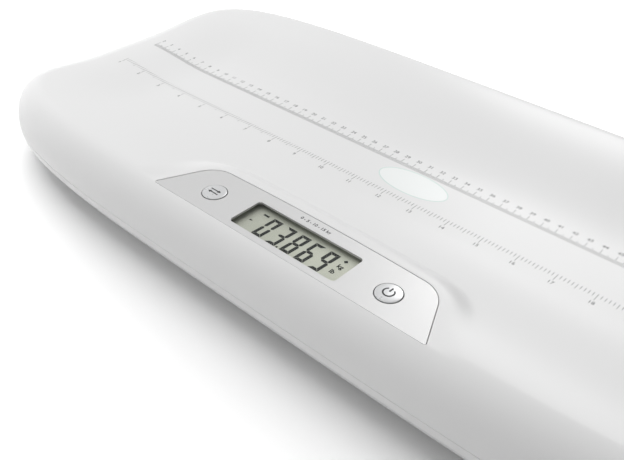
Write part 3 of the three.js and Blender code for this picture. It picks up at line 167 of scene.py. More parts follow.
# Camera and floor
CAMERA_PLACE = (253.6, -376.1, 338.3)
CAMERA_TURN, CAMERA_FALL, CAMERA_ROLL, CAMERA_LENS = 42.25, 36.977, 0.708, 46.14
SENSOR_WIDTH, FLOOR_REACH, WHITE_FROM, WHITE_TO = 36, 3000, 1.1, 2.3

# Places and sizes of the lamps, in metres
LAMP_ABOVE, LAMP_SHEEN, LAMP_FRONT = ((-1.9, 0.6, 2.3), 2.4), ((-0.4, 1.6, 1.3), 1.0), ((-1.0, -1.0, 0.55), 0.7)


def roll_height(inset, crest):
    along = 1 - inset / ROLL_WIDTH
    return WAIST_HEIGHT + (crest - WAIST_HEIGHT) * math.sqrt(1 - along * along)


PANEL_TOP = roll_height(DEPTH / 2 + PANEL_FRONT, RIM_HEIGHT)
SEAT_TOP = PANEL_TOP - PANEL_THICKNESS - CLEARANCE
SEAT_BOTTOM = SEAT_TOP - SEAT_THICKNESS
LCD_TOP = SEAT_BOTTOM - CLEARANCE


# Settings that a user would change
def colour(name, description, *default):
    return bpy.props.FloatVectorProperty(name=name, description=description, subtype="COLOR", size=3, default=default)


def measure(name, description, default, unit="LENGTH"):
    return bpy.props.FloatProperty(name=name, description=description, default=default, unit=unit)


class BodySettings(bpy.types.PropertyGroup):
    fine_step: measure("Fine step", "Length of the outline's steps beside the panel", 0.0016)
    coarse_step: measure("Coarse step", "Length of the outline's steps elsewhere", 0.0042)
    shell_colour: colour("Tray", "Colour of the tray moulding", 0.735, 0.735, 0.735)
    cover_colour: colour("Cover", "Colour of the bottom cover, its door and the feet", 0.66, 0.665, 0.665)


class PanelSettings(bpy.types.PropertyGroup):
    edge: measure("Edge rounding", "Rounding of the panel's edges", 0.00035)
    panel_colour: colour("Panel", "Colour of the silver lacquer", 0.535, 0.535, 0.535)
    key_colour: colour("Keys", "Colour of the key caps", 0.56, 0.565, 0.57)
    mark_colour: colour("Marks", "Colour of the marks on the keys and the panel", 0.045, 0.046, 0.048)
    display_colour: colour("Display", "Colour of the display's ground", 0.52, 0.54, 0.45)
    reading: bpy.props.StringProperty(
        name="Reading", description="Digits on the display; a point follows its digit", default="03.869")


class PrintSettings(bpy.types.PropertyGroup):
    ink_colour: colour("Ink", "Colour of the rulers", 0.045, 0.047, 0.05)
    oval_colour: colour("Oval", "Colour of the oval between the rulers", 0.77, 0.79, 0.783)
    line_colour: colour("Oval line", "Colour of the line round the oval", 0.55, 0.68, 0.64)
    label_height: measure("Label height", "Height of the rulers' numbers", 0.0030)
    tick_width: measure("Tick width", "Width of a ruler tick", 0.00028)


class StageSettings(bpy.types.PropertyGroup):
    floor_colour: colour("Floor", "Colour of the floor", 0.95, 0.95, 0.95)
    room_light: measure("Room light", "Strength of the light from all sides", 0.368, "NONE")
    lamp_power: measure("Lamp", "Power of the soft lamp above", 82.0, "POWER")
    sheen_power: measure("Sheen", "Power of the lamp behind that only reflections show", 16.5, "POWER")
    fill_power: measure("Fill", "Power of the lamp in front", 3.6, "POWER")


# Surface of the body
def smoothstep(value, low, high):
    share = np.clip((value - low) / (high - low), 0, 1)
    return share * share * (3 - 2 * share)


def tray_height(x, y):
    side = smoothstep(np.abs(y), TRAY_HALF_LEVEL, DEPTH / 2 - ROLL_WIDTH)
    crest = LENGTH / 2 - ROLL_WIDTH
    end = smoothstep(np.abs(x), crest - END_RISE_LENGTH, crest)
    fall = RIM_HEIGHT - TRAY_HEIGHT
    return RIM_HEIGHT - fall * (1 - side) * (1 - end * END_RISE / fall)


def beyond_panel(x, y, margin):
    """Distance outside the panel's sides and rear, grown by a margin; the front is open."""
    lean = (PANEL_FRONT_WIDTH - PANEL_REAR_WIDTH) / 2 / (PANEL_REAR - PANEL_FRONT)
    tilt = math.hypot(1, lean)
    half = PANEL_FRONT_WIDTH / 2 - lean * (y - PANEL_FRONT)
    side = (np.abs(x) - half) / tilt - margin
    y = y - rear_rise(np.abs(x))
    rear = y - PANEL_REAR - margin
    middle_y = PANEL_REAR - PANEL_REAR_RADIUS
    middle_x = PANEL_FRONT_WIDTH / 2 - lean * (middle_y - PANEL_FRONT) - PANEL_REAR_RADIUS * tilt
    across, along = np.abs(x) - middle_x, y - middle_y
    corner = (across > 0) & (along - lean * across > 0)
    return np.where(corner, np.hypot(across, along) - PANEL_REAR_RADIUS - margin, np.maximum(side, rear))


def rear_rise(x):
    """How far the bowed rear edge stands out of the line through its corners."""
    half = PANEL_REAR_WIDTH / 2
    middle = PANEL_REAR_PEAK * (1 - PANEL_ARC_SHARE / 2 - x * x / (2 * PANEL_ARC_SHARE * half * half))
    return np.clip(np.where(x < PANEL_ARC_SHARE * half, middle, PANEL_REAR_PEAK * (1 - x / half)), 0, None)


def with_island(points):
    """Brings the skin level with the panel inside its border, and eases it off into the tray."""
    x, y, z = points.T
    level = 1 - smoothstep(beyond_panel(x, y, ISLAND_SHELF), 0, ISLAND_RUN)
    level = np.where(y >= PANEL_FRONT, level, 0)
    return np.column_stack([x, y, z + (PANEL_TOP - z) * level])


def outline_stations(fine, coarse):
    """Places round the plan with their outward directions, closer together beside the panel."""
    power = OUTLINE_POWER

    def places(angle):
        east, north = np.cos(angle), np.sin(angle)
        reach = (np.abs(2 * east / LENGTH) ** power + np.abs(2 * north / DEPTH) ** power) ** (-1 / power)
        return reach * east, reach * north

    angle = np.linspace(-math.pi / 2, 1.5 * math.pi, 40001)
    x, y = places(angle)
    front = (1 - smoothstep(np.abs(x), 128, 170)) * (y < 0)
    step = coarse - (coarse - fine) * front
    counted = np.concatenate([[0], np.cumsum(np.hypot(np.diff(x), np.diff(y)) / step[1:])])
    count = 2 * round(counted[-1] / 2)
    x, y = places(np.interp(np.arange(count) / count * counted[-1], counted, angle))
    slope_x = np.sign(x) * np.abs(2 * x / LENGTH) ** (power - 1) / LENGTH
    slope_y = np.sign(y) * np.abs(2 * y / DEPTH) ** (power - 1) / DEPTH
    size = np.hypot(slope_x, slope_y)
    return x, y, slope_x / size, slope_y / size


def ring(stations, inset, height, share=1.0):
    x, y, facing_x, facing_y = stations
    x, y = (x - inset * facing_x) * share, (y - inset * facing_y) * share
    z = height(x, y) if callable(height) else np.full(len(x), float(height))
    return np.column_stack([x, y, z])


def roll_ring(stations, angle, depth):
    """A ring of the rolled rim: the angle runs from the widest line to the crest."""
    inset = ROLL_WIDTH * (1 - math.sin(angle)) + depth * math.sin(angle)

    def height(x, y):
        return WAIST_HEIGHT + (tray_height(x, y) - WAIST_HEIGHT - depth) * math.cos(angle)

    return ring(stations, inset, height)


# Meshes
def linked(name, data):
    made = bpy.data.objects.new(name, data)
    bpy.context.scene.collection.objects.link(made)
    return made


def piece(name, points, faces):
    mesh = bpy.data.meshes.new(name)
    mesh.from_pydata((np.asarray(points, float) * MM).tolist(), [], faces)
    return linked(name, mesh)


def face_out(made):
    work = bmesh.new()
    work.from_mesh(made.data)
    bmesh.ops.remove_doubles(work, verts=work.verts, dist=1e-7)
    bmesh.ops.recalc_face_normals(work, faces=work.faces)
    work.to_mesh(made.data)
    work.free()
    return made


def skin(name, rings, first, last):
    """A closed skin over rings of equally many points, from one end point to the other."""
    count = len(rings[0])
    faces = []
    for i in range(len(rings) - 1):
        low, high = 1 + i * count, 1 + (i + 1) * count
        faces += [(low + j, low + (j + 1) % count, high + (j + 1) % count, high + j) for j in range(count)]
    end = 1 + (len(rings) - 1) * count
    tip = end + count
    faces += [(0, 1 + (j + 1) % count, 1 + j) for j in range(count)]
    faces += [(tip, end + j, end + (j + 1) % count) for j in range(count)]
    return face_out(piece(name, np.vstack([[first], *rings, [last]]), faces))


def level_at(points, z):
    return np.column_stack([points, np.full(len(points), z)])


def stack(name, levels):
    """A solid through flat outlines, each given as its points and its height."""
    rings = [level_at(points, z) for points, z in levels]
    return skin(name, rings, rings[0].mean(0), rings[-1].mean(0))


def straight(name, outline, z0, z1):
    return stack(name, [(outline, z0), (outline, z1)])


def bevelled(name, outline, bottom, top, edge):
    """A plate with bevelled edges; the outline is a function of how far it steps in."""
    return stack(name, [(outline(edge), bottom), (outline(0), bottom + edge), (outline(0), top - edge),
                        (outline(edge), top)])


def block(x0, x1, y0, y1, z0, z1):
    return straight("block", np.array([(x0, y0), (x1, y0), (x1, y1), (x0, y1)], float), z0, z1)


def square(half, z0, z1, x, y):
    return block(x - half, x + half, y - half, y + half, z0, z1)


def rib_along(x0, x1, y, z0, z1):
    return block(x0, x1, y - RIB_HALF, y + RIB_HALF, z0, z1)


def rib_across(x, y0, y1, z0, z1):
    return block(x - RIB_HALF, x + RIB_HALF, y0, y1, z0, z1)


def circle(radius, x=0.0, y=0.0, sides=48):
    turn = np.arange(sides) * 2 * math.pi / sides
    return np.column_stack([x + radius * np.cos(turn), y + radius * np.sin(turn)])


def rod(radius, z0, z1, x=0.0, y=0.0, sides=48):
    return straight("rod", circle(radius, x, y, sides), z0, z1)


def turned(name, profile, x=0.0, y=0.0, sides=72):
    """A solid of revolution; the profile starts and ends on the axis."""
    rings = [level_at(circle(radius, x, y, sides), z) for radius, z in profile[1:-1]]
    return skin(name, rings, (x, y, profile[0][1]), (x, y, profile[-1][1]))


def smooth_line(points, steps=8):
    """A centripetal curve through the points."""
    points = [np.array(point, float) for point in points]
    points = [2 * points[0] - points[1], *points, 2 * points[-1] - points[-2]]

    def between(a, b, start, end, t):
        return ((end - t) * a + (t - start) * b) / (end - start)

    line = []
    for a, b, c, d in zip(points, points[1:], points[2:], points[3:]):
        t1 = math.sqrt(np.linalg.norm(b - a))
        t2 = t1 + math.sqrt(np.linalg.norm(c - b))
        t3 = t2 + math.sqrt(np.linalg.norm(d - c))
        for t in np.linspace(t1, t2, steps, endpoint=False):
            ab, bc, cd = between(a, b, 0, t1, t), between(b, c, t1, t2, t), between(c, d, t2, t3, t)
            line.append(between(between(ab, bc, 0, t2, t), between(bc, cd, t1, t3, t), t1, t2, t))
    return np.array([*line, points[-2]])


def tube(name, points, radius, sides=14):
    line = smooth_line(points)
    ahead = np.gradient(line, axis=0)
    ahead /= np.linalg.norm(ahead, axis=1)[:, None]
    turn = np.arange(sides) * 2 * math.pi / sides
    side = np.cross(ahead[0], (0.0, 0.0, 1.0))
    rings = []
    for place, way in zip(line, ahead):
        side = side - way * (side @ way)
        side /= np.linalg.norm(side)
        other = np.cross(way, side)
        rings.append(place + radius * (np.outer(np.cos(turn), side) + np.outer(np.sin(turn), other)))
    return skin(name, rings, line[0], line[-1])


def rounding(radius, z, inset, height, steps=5):
    """Profile points round an edge: from straight up to straight in, or the other way for a height below 0."""
    angles = [math.pi / 2 * i / steps for i in range(steps + 1)]
    points = [(radius - inset * (1 - math.cos(a)), z + height * math.sin(a)) for a in angles]
    return points if height > 0 else points[::-1]


def rounded_outline(corners, steps=16):
    points = []
    for i, (x, y, radius) in enumerate(corners):
        here = Vector((x, y))
        back = (Vector(corners[i - 1][:2]) - here).normalized()
        ahead = (Vector(corners[(i + 1) % len(corners)][:2]) - here).normalized()
        half = back.angle(ahead) / 2
        middle = here + (back + ahead).normalized() * radius / math.sin(half)
        start = here + back * radius / math.tan(half) - middle
        end = here + ahead * radius / math.tan(half) - middle
        first, last = math.atan2(start.y, start.x), math.atan2(end.y, end.x)
        last += 2 * math.pi if last < first else 0
        for step in range(steps + 1):
            turn = first + (last - first) * step / steps
            points.append((middle.x + radius * math.cos(turn), middle.y + radius * math.sin(turn)))
    return np.array(points)


def panel_outline(margin, front_margin=None):
    lean = (PANEL_FRONT_WIDTH - PANEL_REAR_WIDTH) / 2 / (PANEL_REAR - PANEL_FRONT)
    front = PANEL_FRONT - (margin if front_margin is None else front_margin)
    rear = PANEL_REAR + margin

    def half(y):
        return PANEL_FRONT_WIDTH / 2 - lean * (y - PANEL_FRONT) + margin * math.hypot(1, lean)

    front_radius = max(PANEL_FRONT_RADIUS + margin, 0.3)
    arc_radius = PANEL_ARC_SHARE * half(rear) ** 2 / PANEL_REAR_PEAK
    return rounded_outline([
        (-half(front), front, front_radius), (half(front), front, front_radius),
        (half(rear), rear, PANEL_REAR_RADIUS + margin), (0, rear + PANEL_REAR_PEAK, arc_radius),
        (-half(rear), rear, PANEL_REAR_RADIUS + margin),
    ])


def rectangle_outline(width, depth, radius, x=0.0, y=0.0, steps=8):
    w, d = width / 2, depth / 2
    return rounded_outline([
        (x - w, y - d, radius), (x + w, y - d, radius), (x + w, y + d, radius), (x - w, y + d, radius)], steps)


def window_outline(margin):
    return rectangle_outline(WINDOW_WIDTH + 2 * margin, WINDOW_DEPTH + 2 * margin,
                             WINDOW_RADIUS + max(margin, -1.5), 0, WINDOW_MIDDLE, 12)


def bake(made):
    """Turns the evaluated object into its plain mesh."""
    bpy.context.view_layer.update()
    graph = bpy.context.evaluated_depsgraph_get()
    mesh = bpy.data.meshes.new_from_object(made.evaluated_get(graph), depsgraph=graph)
    made.modifiers.clear()
    made.data = mesh
    return made


def combine(made, operation, *tools):
    for tool in tools:
        modifier = made.modifiers.new("combine", "BOOLEAN")
        modifier.operation, modifier.solver, modifier.object = operation, "MANIFOLD", tool
        bake(made)
        bpy.data.objects.remove(tool)
    return made


def add_all(made, *tools):
    return combine(made, "UNION", *tools)


def cut_all(made, *tools):
    return combine(made, "DIFFERENCE", *tools)


def places_of(mesh):
    """The places of the vertices, in millimetres."""
    places = np.empty(len(mesh.vertices) * 3)
    mesh.vertices.foreach_get("co", places)
    return places.reshape(-1, 3) / MM


def joined(name, parts):
    """One piece from several, without their materials."""
    points, faces, offset = [], [], 0
    for part in parts:
        points.append(places_of(part.data))
        faces += [tuple(v + offset for v in polygon.vertices) for polygon in part.data.polygons]
        offset += len(part.data.vertices)
        bpy.data.objects.remove(part)
    return piece(name, np.vstack(points), faces)


def reshape(made, change):
    """Moves the vertices by a function of their places in millimetres."""
    places = np.asarray(change(places_of(made.data))) * MM
    made.data.vertices.foreach_set("co", places.ravel())
    made.data.update()
    return made


def moved(made, x, y, z):
    return reshape(made, lambda points: points + (x, y, z))


def dress(made, material, slot, *nodes, body="housing", sharp=32):
    """Shades a finished piece, gives it its material, and sets it in the frame."""
    made.data.shade_smooth()
    made.data.set_sharp_from_angle(angle=math.radians(sharp))
    weighted = made.modifiers.new("normals", "WEIGHTED_NORMAL")
    weighted.keep_sharp = True
    bake(made)
    if material:
        made.data.materials.clear()
        made.data.materials.append(material)
    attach(made, body)
    if nodes:
        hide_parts(*nodes)
    return made


# Nodes
def fill(tree, node, inputs):
    """Sets each input of a node to its value, or links it to its socket."""
    for key, value in inputs.items():
        if isinstance(value, bpy.types.NodeSocket):
            tree.links.new(value, node.inputs[key])
        else:
            node.inputs[key].default_value = value


def add_node(tree, kind, inputs=(), **options):
    node = tree.nodes.new(kind)
    for name, value in options.items():
        setattr(node, name, value)
    fill(tree, node, dict(inputs))
    return node.outputs


def computed(tree, operation, *values):
    return add_node(tree, "ShaderNodeMath", enumerate(values), operation=operation)[0]


def vector(tree, *values):
    return add_node(tree, "ShaderNodeCombineXYZ", enumerate(values))[0]


def mixed(tree, factor, first, second):
    return add_node(tree, "ShaderNodeMix", {"Factor": factor, "A": first, "B": second}, data_type="RGBA")["Result"]


# Materials
def surface_group():
    """Shader group for a moulded or painted surface: slow mottle in colour and gloss, and a fine grain."""
    name = "moulded surface"
    if name in bpy.data.node_groups:
        return bpy.data.node_groups[name]
    group = bpy.data.node_groups.new(name, "ShaderNodeTree")
    for label, way, kind, value in (
            ("Vector", "INPUT", "Vector", None), ("Colour", "INPUT", "Color", (0.8, 0.8, 0.8, 1)),
            ("Mottle", "INPUT", "Float", 0.03), ("Mottle Scale", "INPUT", "Float", 30.0),
            ("Roughness", "INPUT", "Float", 0.4), ("Gloss Spread", "INPUT", "Float", 0.05),
            ("Grain Scale", "INPUT", "Float", 3000.0), ("Colour", "OUTPUT", "Color", None),
            ("Roughness", "OUTPUT", "Float", None), ("Grain", "OUTPUT", "Float", None)):
        socket = group.interface.new_socket(label, in_out=way, socket_type="NodeSocket" + kind)
        if value is not None:
            socket.default_value = value
    given = add_node(group, "NodeGroupInput")
    slow, fine = (add_node(group, "ShaderNodeTexNoise", {
        "Vector": given["Vector"], "Scale": given[scale], "Detail": detail})["Fac"]
        for scale, detail in (("Mottle Scale", 4), ("Grain Scale", 2)))
    share = computed(group, "MULTIPLY", slow, given["Mottle"])
    centred = computed(group, "SUBTRACT", slow, 0.5)
    add_node(group, "NodeGroupOutput", {
        "Colour": mixed(group, share, given["Colour"], (0.1, 0.1, 0.1, 1)),
        "Roughness": computed(group, "MULTIPLY_ADD", centred, given["Gloss Spread"], given["Roughness"]),
        "Grain": fine})
    return group


def finish(name, colour, roughness, metallic=0.0, coat=0.0, mottle=0.02, mottle_scale=30.0, spread=0.06,
           grain=(3000.0, 0.1), alpha=1.0, specular=0.5):
    """A material: its colour and gloss vary by the shared group, and its grain is a fine bump."""
    if name in bpy.data.materials:
        return bpy.data.materials[name]
    material = bpy.data.materials.new(name)
    material.use_nodes = True
    tree = material.node_tree
    surface = add_node(tree, "ShaderNodeGroup", {
        "Vector": add_node(tree, "ShaderNodeTexCoord")["Object"], "Colour": (*colour, 1), "Mottle": mottle,
        "Mottle Scale": mottle_scale, "Roughness": roughness, "Gloss Spread": spread, "Grain Scale": grain[0],
    }.items(), node_tree=surface_group())
    bump = add_node(tree, "ShaderNodeBump", {
        "Strength": grain[1], "Distance": GRAIN_DEPTH / grain[0], "Height": surface["Grain"]})
    fill(tree, tree.nodes["Principled BSDF"], {
        "Metallic": metallic, "Coat Weight": coat, "Coat Roughness": 0.08, "Specular IOR Level": specular,
        "Alpha": alpha, "Base Color": surface["Colour"], "Roughness": surface["Roughness"], "Normal": bump["Normal"]})
    return material


def over_colour(material, change):
    """Puts a further step between a material's colour and its shader."""
    tree = material.node_tree
    colour = tree.nodes["Principled BSDF"].inputs["Base Color"]
    changed = change(tree, add_node(tree, "ShaderNodeTexCoord")["Object"], colour.links[0].from_socket)
    tree.links.new(changed, colour)
    return material


def settings():
    return bpy.context.scene.scale_settings


def tray_gloss():
    return finish("tray gloss", settings().body.shell_colour, 0.34, mottle=0.012, mottle_scale=9,
                  grain=(700.0, 0.03), specular=0.25)


def cover_white():
    return finish("cover white", settings().body.cover_colour, 0.5, mottle=0.02, grain=(5200.0, 0.35))


def panel_silver():
    return finish("panel silver", settings().panel.panel_colour, 0.4, metallic=0.35, mottle=0.02, mottle_scale=60,
                  spread=0.05, grain=(6500.0, 0.12))


def key_silver():
    return finish("key silver", settings().panel.key_colour, 0.28, metallic=0.3, mottle=0.015,
                  mottle_scale=120, grain=(6500.0, 0.06))


def ruler_ink():
    return finish("ruler ink", settings().prints.ink_colour, 0.45, mottle=0.1, mottle_scale=400, grain=(4000.0, 0.2))


def mark_grey():
    return finish("mark grey", settings().panel.mark_colour, 0.6, mottle=0.1, mottle_scale=400, grain=(4000.0, 0.1),
                  specular=0.1)


def screw_steel():
    return finish("screw steel", (0.62, 0.63, 0.64), 0.32, metallic=1.0, mottle=0.08, mottle_scale=300, spread=0.15,
                  grain=(2200.0, 0.15))


def display_green():
    """The display's ground: a grey green, with a painted shadow that darkens it under the window's rear edge and
    towards its left end.
    """
    def shade(tree, place, colour):
        axes = add_node(tree, "ShaderNodeSeparateXYZ", {0: place})
        left, rear = -WINDOW_WIDTH / 2, WINDOW_MIDDLE + WINDOW_DEPTH / 2
        # Painted shadow: near the window's left and rear edges the ground is mixed towards a dark green
        for axis, darkest, plain in (("X", left, left + PAINTED_SHADOW_REACH_X), ("Y", rear, rear - PAINTED_SHADOW_REACH_Y)):
            share = add_node(tree, "ShaderNodeMapRange", {
                "Value": axes[axis], "From Min": darkest * MM, "From Max": plain * MM,
                "To Min": DISPLAY_PAINTED_SHADOW, "To Max": 0.0})["Result"]
            colour = mixed(tree, share, colour, (0.05, 0.055, 0.045, 1))
        return colour

    ground = finish("display green", settings().panel.display_colour, 0.3, mottle=0.02, mottle_scale=200,
                    grain=(2500.0, 0.03))
    return over_colour(ground, shade)


def circuit_green():
    """Green solder resist over a pattern of copper tracks."""
    def tracks(tree, place, colour):
        bricks = add_node(tree, "ShaderNodeTexBrick", {"Vector": place, "Scale": 140, "Mortar Size": 0.06})
        return mixed(tree, computed(tree, "MULTIPLY", bricks["Fac"], 0.6), colour, (0.08, 0.26, 0.10, 1))

    return over_colour(finish("circuit green", (0.02, 0.12, 0.05), 0.3, coat=0.4, mottle=0.1, mottle_scale=100,
                              grain=(2000.0, 0.1)), tracks)


# Geometry Nodes
def modifier_tree(name, labels):
    """A new tree with its named inputs; returns the tree and the sockets of its inputs."""
    tree = bpy.data.node_groups.new(name, "GeometryNodeTree")
    tree.is_modifier = True
    kinds = {"Geometry": "Geometry", "Count": "Int", "Material": "Material"}
    for label in ("Geometry", *labels, "Material"):
        kind = kinds.get(label, "Float")
        tree.interface.new_socket(label, in_out="INPUT", socket_type="NodeSocket" + kind)
    tree.interface.new_socket("Geometry", in_out="OUTPUT", socket_type="NodeSocketGeometry")
    return tree, add_node(tree, "NodeGroupInput")


def run_tree(made, tree, values):
    """Runs a tree on an object with its inputs set by their identifiers, and keeps the plain mesh."""
    modifier = made.modifiers.new(tree.name, "NODES")
    modifier.node_group = tree
    for item in tree.interface.items_tree:
        if item.in_out == "INPUT" and item.name in values:
            modifier[item.identifier] = values[item.name]
    return bake(made)


def on_points(tree, given, points, instance, **options):
    """Ends a tree: the instance on each point, made real, with the material."""
    placed = add_node(tree, "GeometryNodeInstanceOnPoints", {"Points": points, "Instance": instance, **options})
    real = add_node(tree, "GeometryNodeRealizeInstances", {"Geometry": placed["Instances"]})
    painted = add_node(tree, "GeometryNodeSetMaterial", {"Geometry": real["Geometry"], "Material": given["Material"]})
    add_node(tree, "NodeGroupOutput", {"Geometry": painted["Geometry"]})
    return tree


def tick_tree():
    """Ticks along X from one edge line: every tenth is long and every fifth is middling."""
    tree, given = modifier_tree("ruler ticks", (
        "Count", "Pitch", "Start", "Edge", "Side", "Width", "Short", "Middle", "Long", "Thickness"))
    line = add_node(tree, "GeometryNodeMeshLine", {
        "Count": given["Count"], "Start Location": vector(tree, given["Start"], given["Edge"]),
        "Offset": vector(tree, given["Pitch"])}, mode="OFFSET")
    index = add_node(tree, "GeometryNodeInputIndex")[0]
    length = given["Short"]
    for number, longer in ((5.0, given["Middle"]), (10.0, given["Long"])):
        when = computed(tree, "LESS_THAN", computed(tree, "MODULO", index, number), 0.5)
        length = add_node(tree, "GeometryNodeSwitch", {"Switch": when, "False": length, "True": longer},
                          input_type="FLOAT")["Output"]
    half = computed(tree, "MULTIPLY", computed(tree, "MULTIPLY", length, given["Side"]), 0.5)
    shifted = add_node(tree, "GeometryNodeSetPosition", {"Geometry": line["Mesh"], "Offset": vector(tree, 0.0, half)})
    return on_points(tree, given, shifted["Geometry"], add_node(tree, "GeometryNodeMeshCube")["Mesh"],
                     Scale=vector(tree, given["Width"], length, given["Thickness"]))


def screw_tree():
    """A pan head screw, head down with a cross recess, on each point."""
    tree, given = modifier_tree("cross head screws", SCREW_LABELS)

    def cylinder(low_radius, high_radius, depth, z, sides=36):
        cone = add_node(tree, "GeometryNodeMeshCone", {
            "Vertices": sides, "Radius Top": high_radius, "Radius Bottom": low_radius, "Depth": depth})
        return add_node(tree, "GeometryNodeTransform", {
            "Geometry": cone["Mesh"], "Translation": vector(tree, 0.0, 0.0, z)})["Geometry"]

    radius, height, shank, length, width, recess = (given[label] for label in SCREW_LABELS)
    low, high = computed(tree, "MULTIPLY", height, 0.45), computed(tree, "MULTIPLY", height, 0.6)
    union, cross = (tree.nodes.new("GeometryNodeMeshBoolean") for _ in range(2))
    union.operation, cross.operation = "UNION", "DIFFERENCE"
    for solid in (cylinder(computed(tree, "MULTIPLY", radius, 0.72), radius, low, 0.0),
                  cylinder(radius, radius, high, low),
                  cylinder(shank, shank, computed(tree, "ADD", length, low), high, 24)):
        tree.links.new(solid, union.inputs[1])
    reach = computed(tree, "MULTIPLY", radius, 1.1)
    depth = computed(tree, "MULTIPLY", recess, 2.0)
    for size in ((reach, width), (width, reach)):
        bar = add_node(tree, "GeometryNodeMeshCube", {"Size": vector(tree, *size, depth)})
        tree.links.new(bar["Mesh"], cross.inputs[1])
    tree.links.new(union.outputs["Mesh"], cross.inputs[0])
    return on_points(tree, given, given["Geometry"], cross.outputs["Mesh"])


def spring_tree():
    """A conical spring on each point, its tip towards the middle line along Y."""
    tree, given = modifier_tree("coil springs", ("Turns", "Base Radius", "Tip Radius", "Height", "Wire Radius"))
    spiral = add_node(tree, "GeometryNodeCurveSpiral", {
        "Resolution": 40, "Rotations": given["Turns"], "Start Radius": given["Base Radius"],
        "End Radius": given["Tip Radius"], "Height": given["Height"]})
    wire = add_node(tree, "GeometryNodeCurvePrimitiveCircle", {"Resolution": 12, "Radius": given["Wire Radius"]})
    sweep = add_node(tree, "GeometryNodeCurveToMesh", {
        "Curve": spiral["Curve"], "Profile Curve": wire["Curve"], "Fill Caps": True})
    here = add_node(tree, "ShaderNodeSeparateXYZ", {0: add_node(tree, "GeometryNodeInputPosition")["Position"]})
    lean = computed(tree, "MULTIPLY", computed(tree, "SIGN", here["Y"]), math.pi / 2)
    return on_points(tree, given, given["Geometry"], sweep["Mesh"], Rotation=vector(tree, lean))


# Prints
def lettering(text, height, x, y, thickness, bolder=0.0):
    """A text as a thin solid with its middle at a place."""
    curve = bpy.data.curves.new(text, "FONT")
    curve.body, curve.align_x, curve.align_y = text, "CENTER", "CENTER"
    curve.size, curve.resolution_u, curve.extrude = height * 1.38 * MM, 3, thickness / 2 * MM
    curve.offset = bolder * MM
    made = linked("label " + text, curve)
    bpy.context.view_layer.update()
    mesh = bpy.data.meshes.new_from_object(made)
    bpy.data.objects.remove(made)
    return moved(linked("label", mesh), x, y, 0)


def prism(points, z0, z1):
    count = len(points)
    solid = np.vstack([level_at(np.array(points, float), z) for z in (z0, z1)])
    sides = [(j, (j + 1) % count, count + (j + 1) % count, count + j) for j in range(count)]
    return face_out(piece("prism", solid, [tuple(range(count))[::-1], tuple(range(count, 2 * count)), *sides]))


def ribbon(points, width, thickness, closed=False):
    """A flat band along a line in the plane, its underside at 0."""
    points = np.array(points, float)
    ahead = np.roll(points, -1, 0) - np.roll(points, 1, 0) if closed else np.gradient(points, axis=0)
    ahead /= np.linalg.norm(ahead, axis=1)[:, None]
    across = np.column_stack([-ahead[:, 1], ahead[:, 0]]) * width / 2
    count = len(points)
    corners = [(points - across, 0), (points + across, 0), (points + across, thickness), (points - across, thickness)]
    solid = np.vstack([level_at(line, z) for line, z in corners])
    faces = []
    for i in range(count if closed else count - 1):
        j = (i + 1) % count
        faces += [(k * count + i, k * count + j, (k + 1) % 4 * count + j, (k + 1) % 4 * count + i) for k in range(4)]
    if not closed:
        faces += [tuple(k * count for k in range(4)), tuple(k * count + count - 1 for k in (3, 2, 1, 0))]
    return face_out(piece("ribbon", solid, faces))


def lay_on_tray(made, thickness):
    """Sinks the underside of a print a little into the tray and follows its rise."""
    def change(points):
        x, y, z = points.T
        share = (z - z.min()) / max(z.max() - z.min(), 1e-6)
        return np.column_stack([x, y, tray_height(x, y) - thickness + 1.5 * thickness * share])

    return reshape(made, change)


# Operators
class PieceOperator(bpy.types.Operator):
    """Base of the operators that make pieces"""
    bl_options = {"REGISTER", "UNDO"}

    def execute(self, context):
        self.make(context.scene.scale_settings)
        return {"FINISHED"}


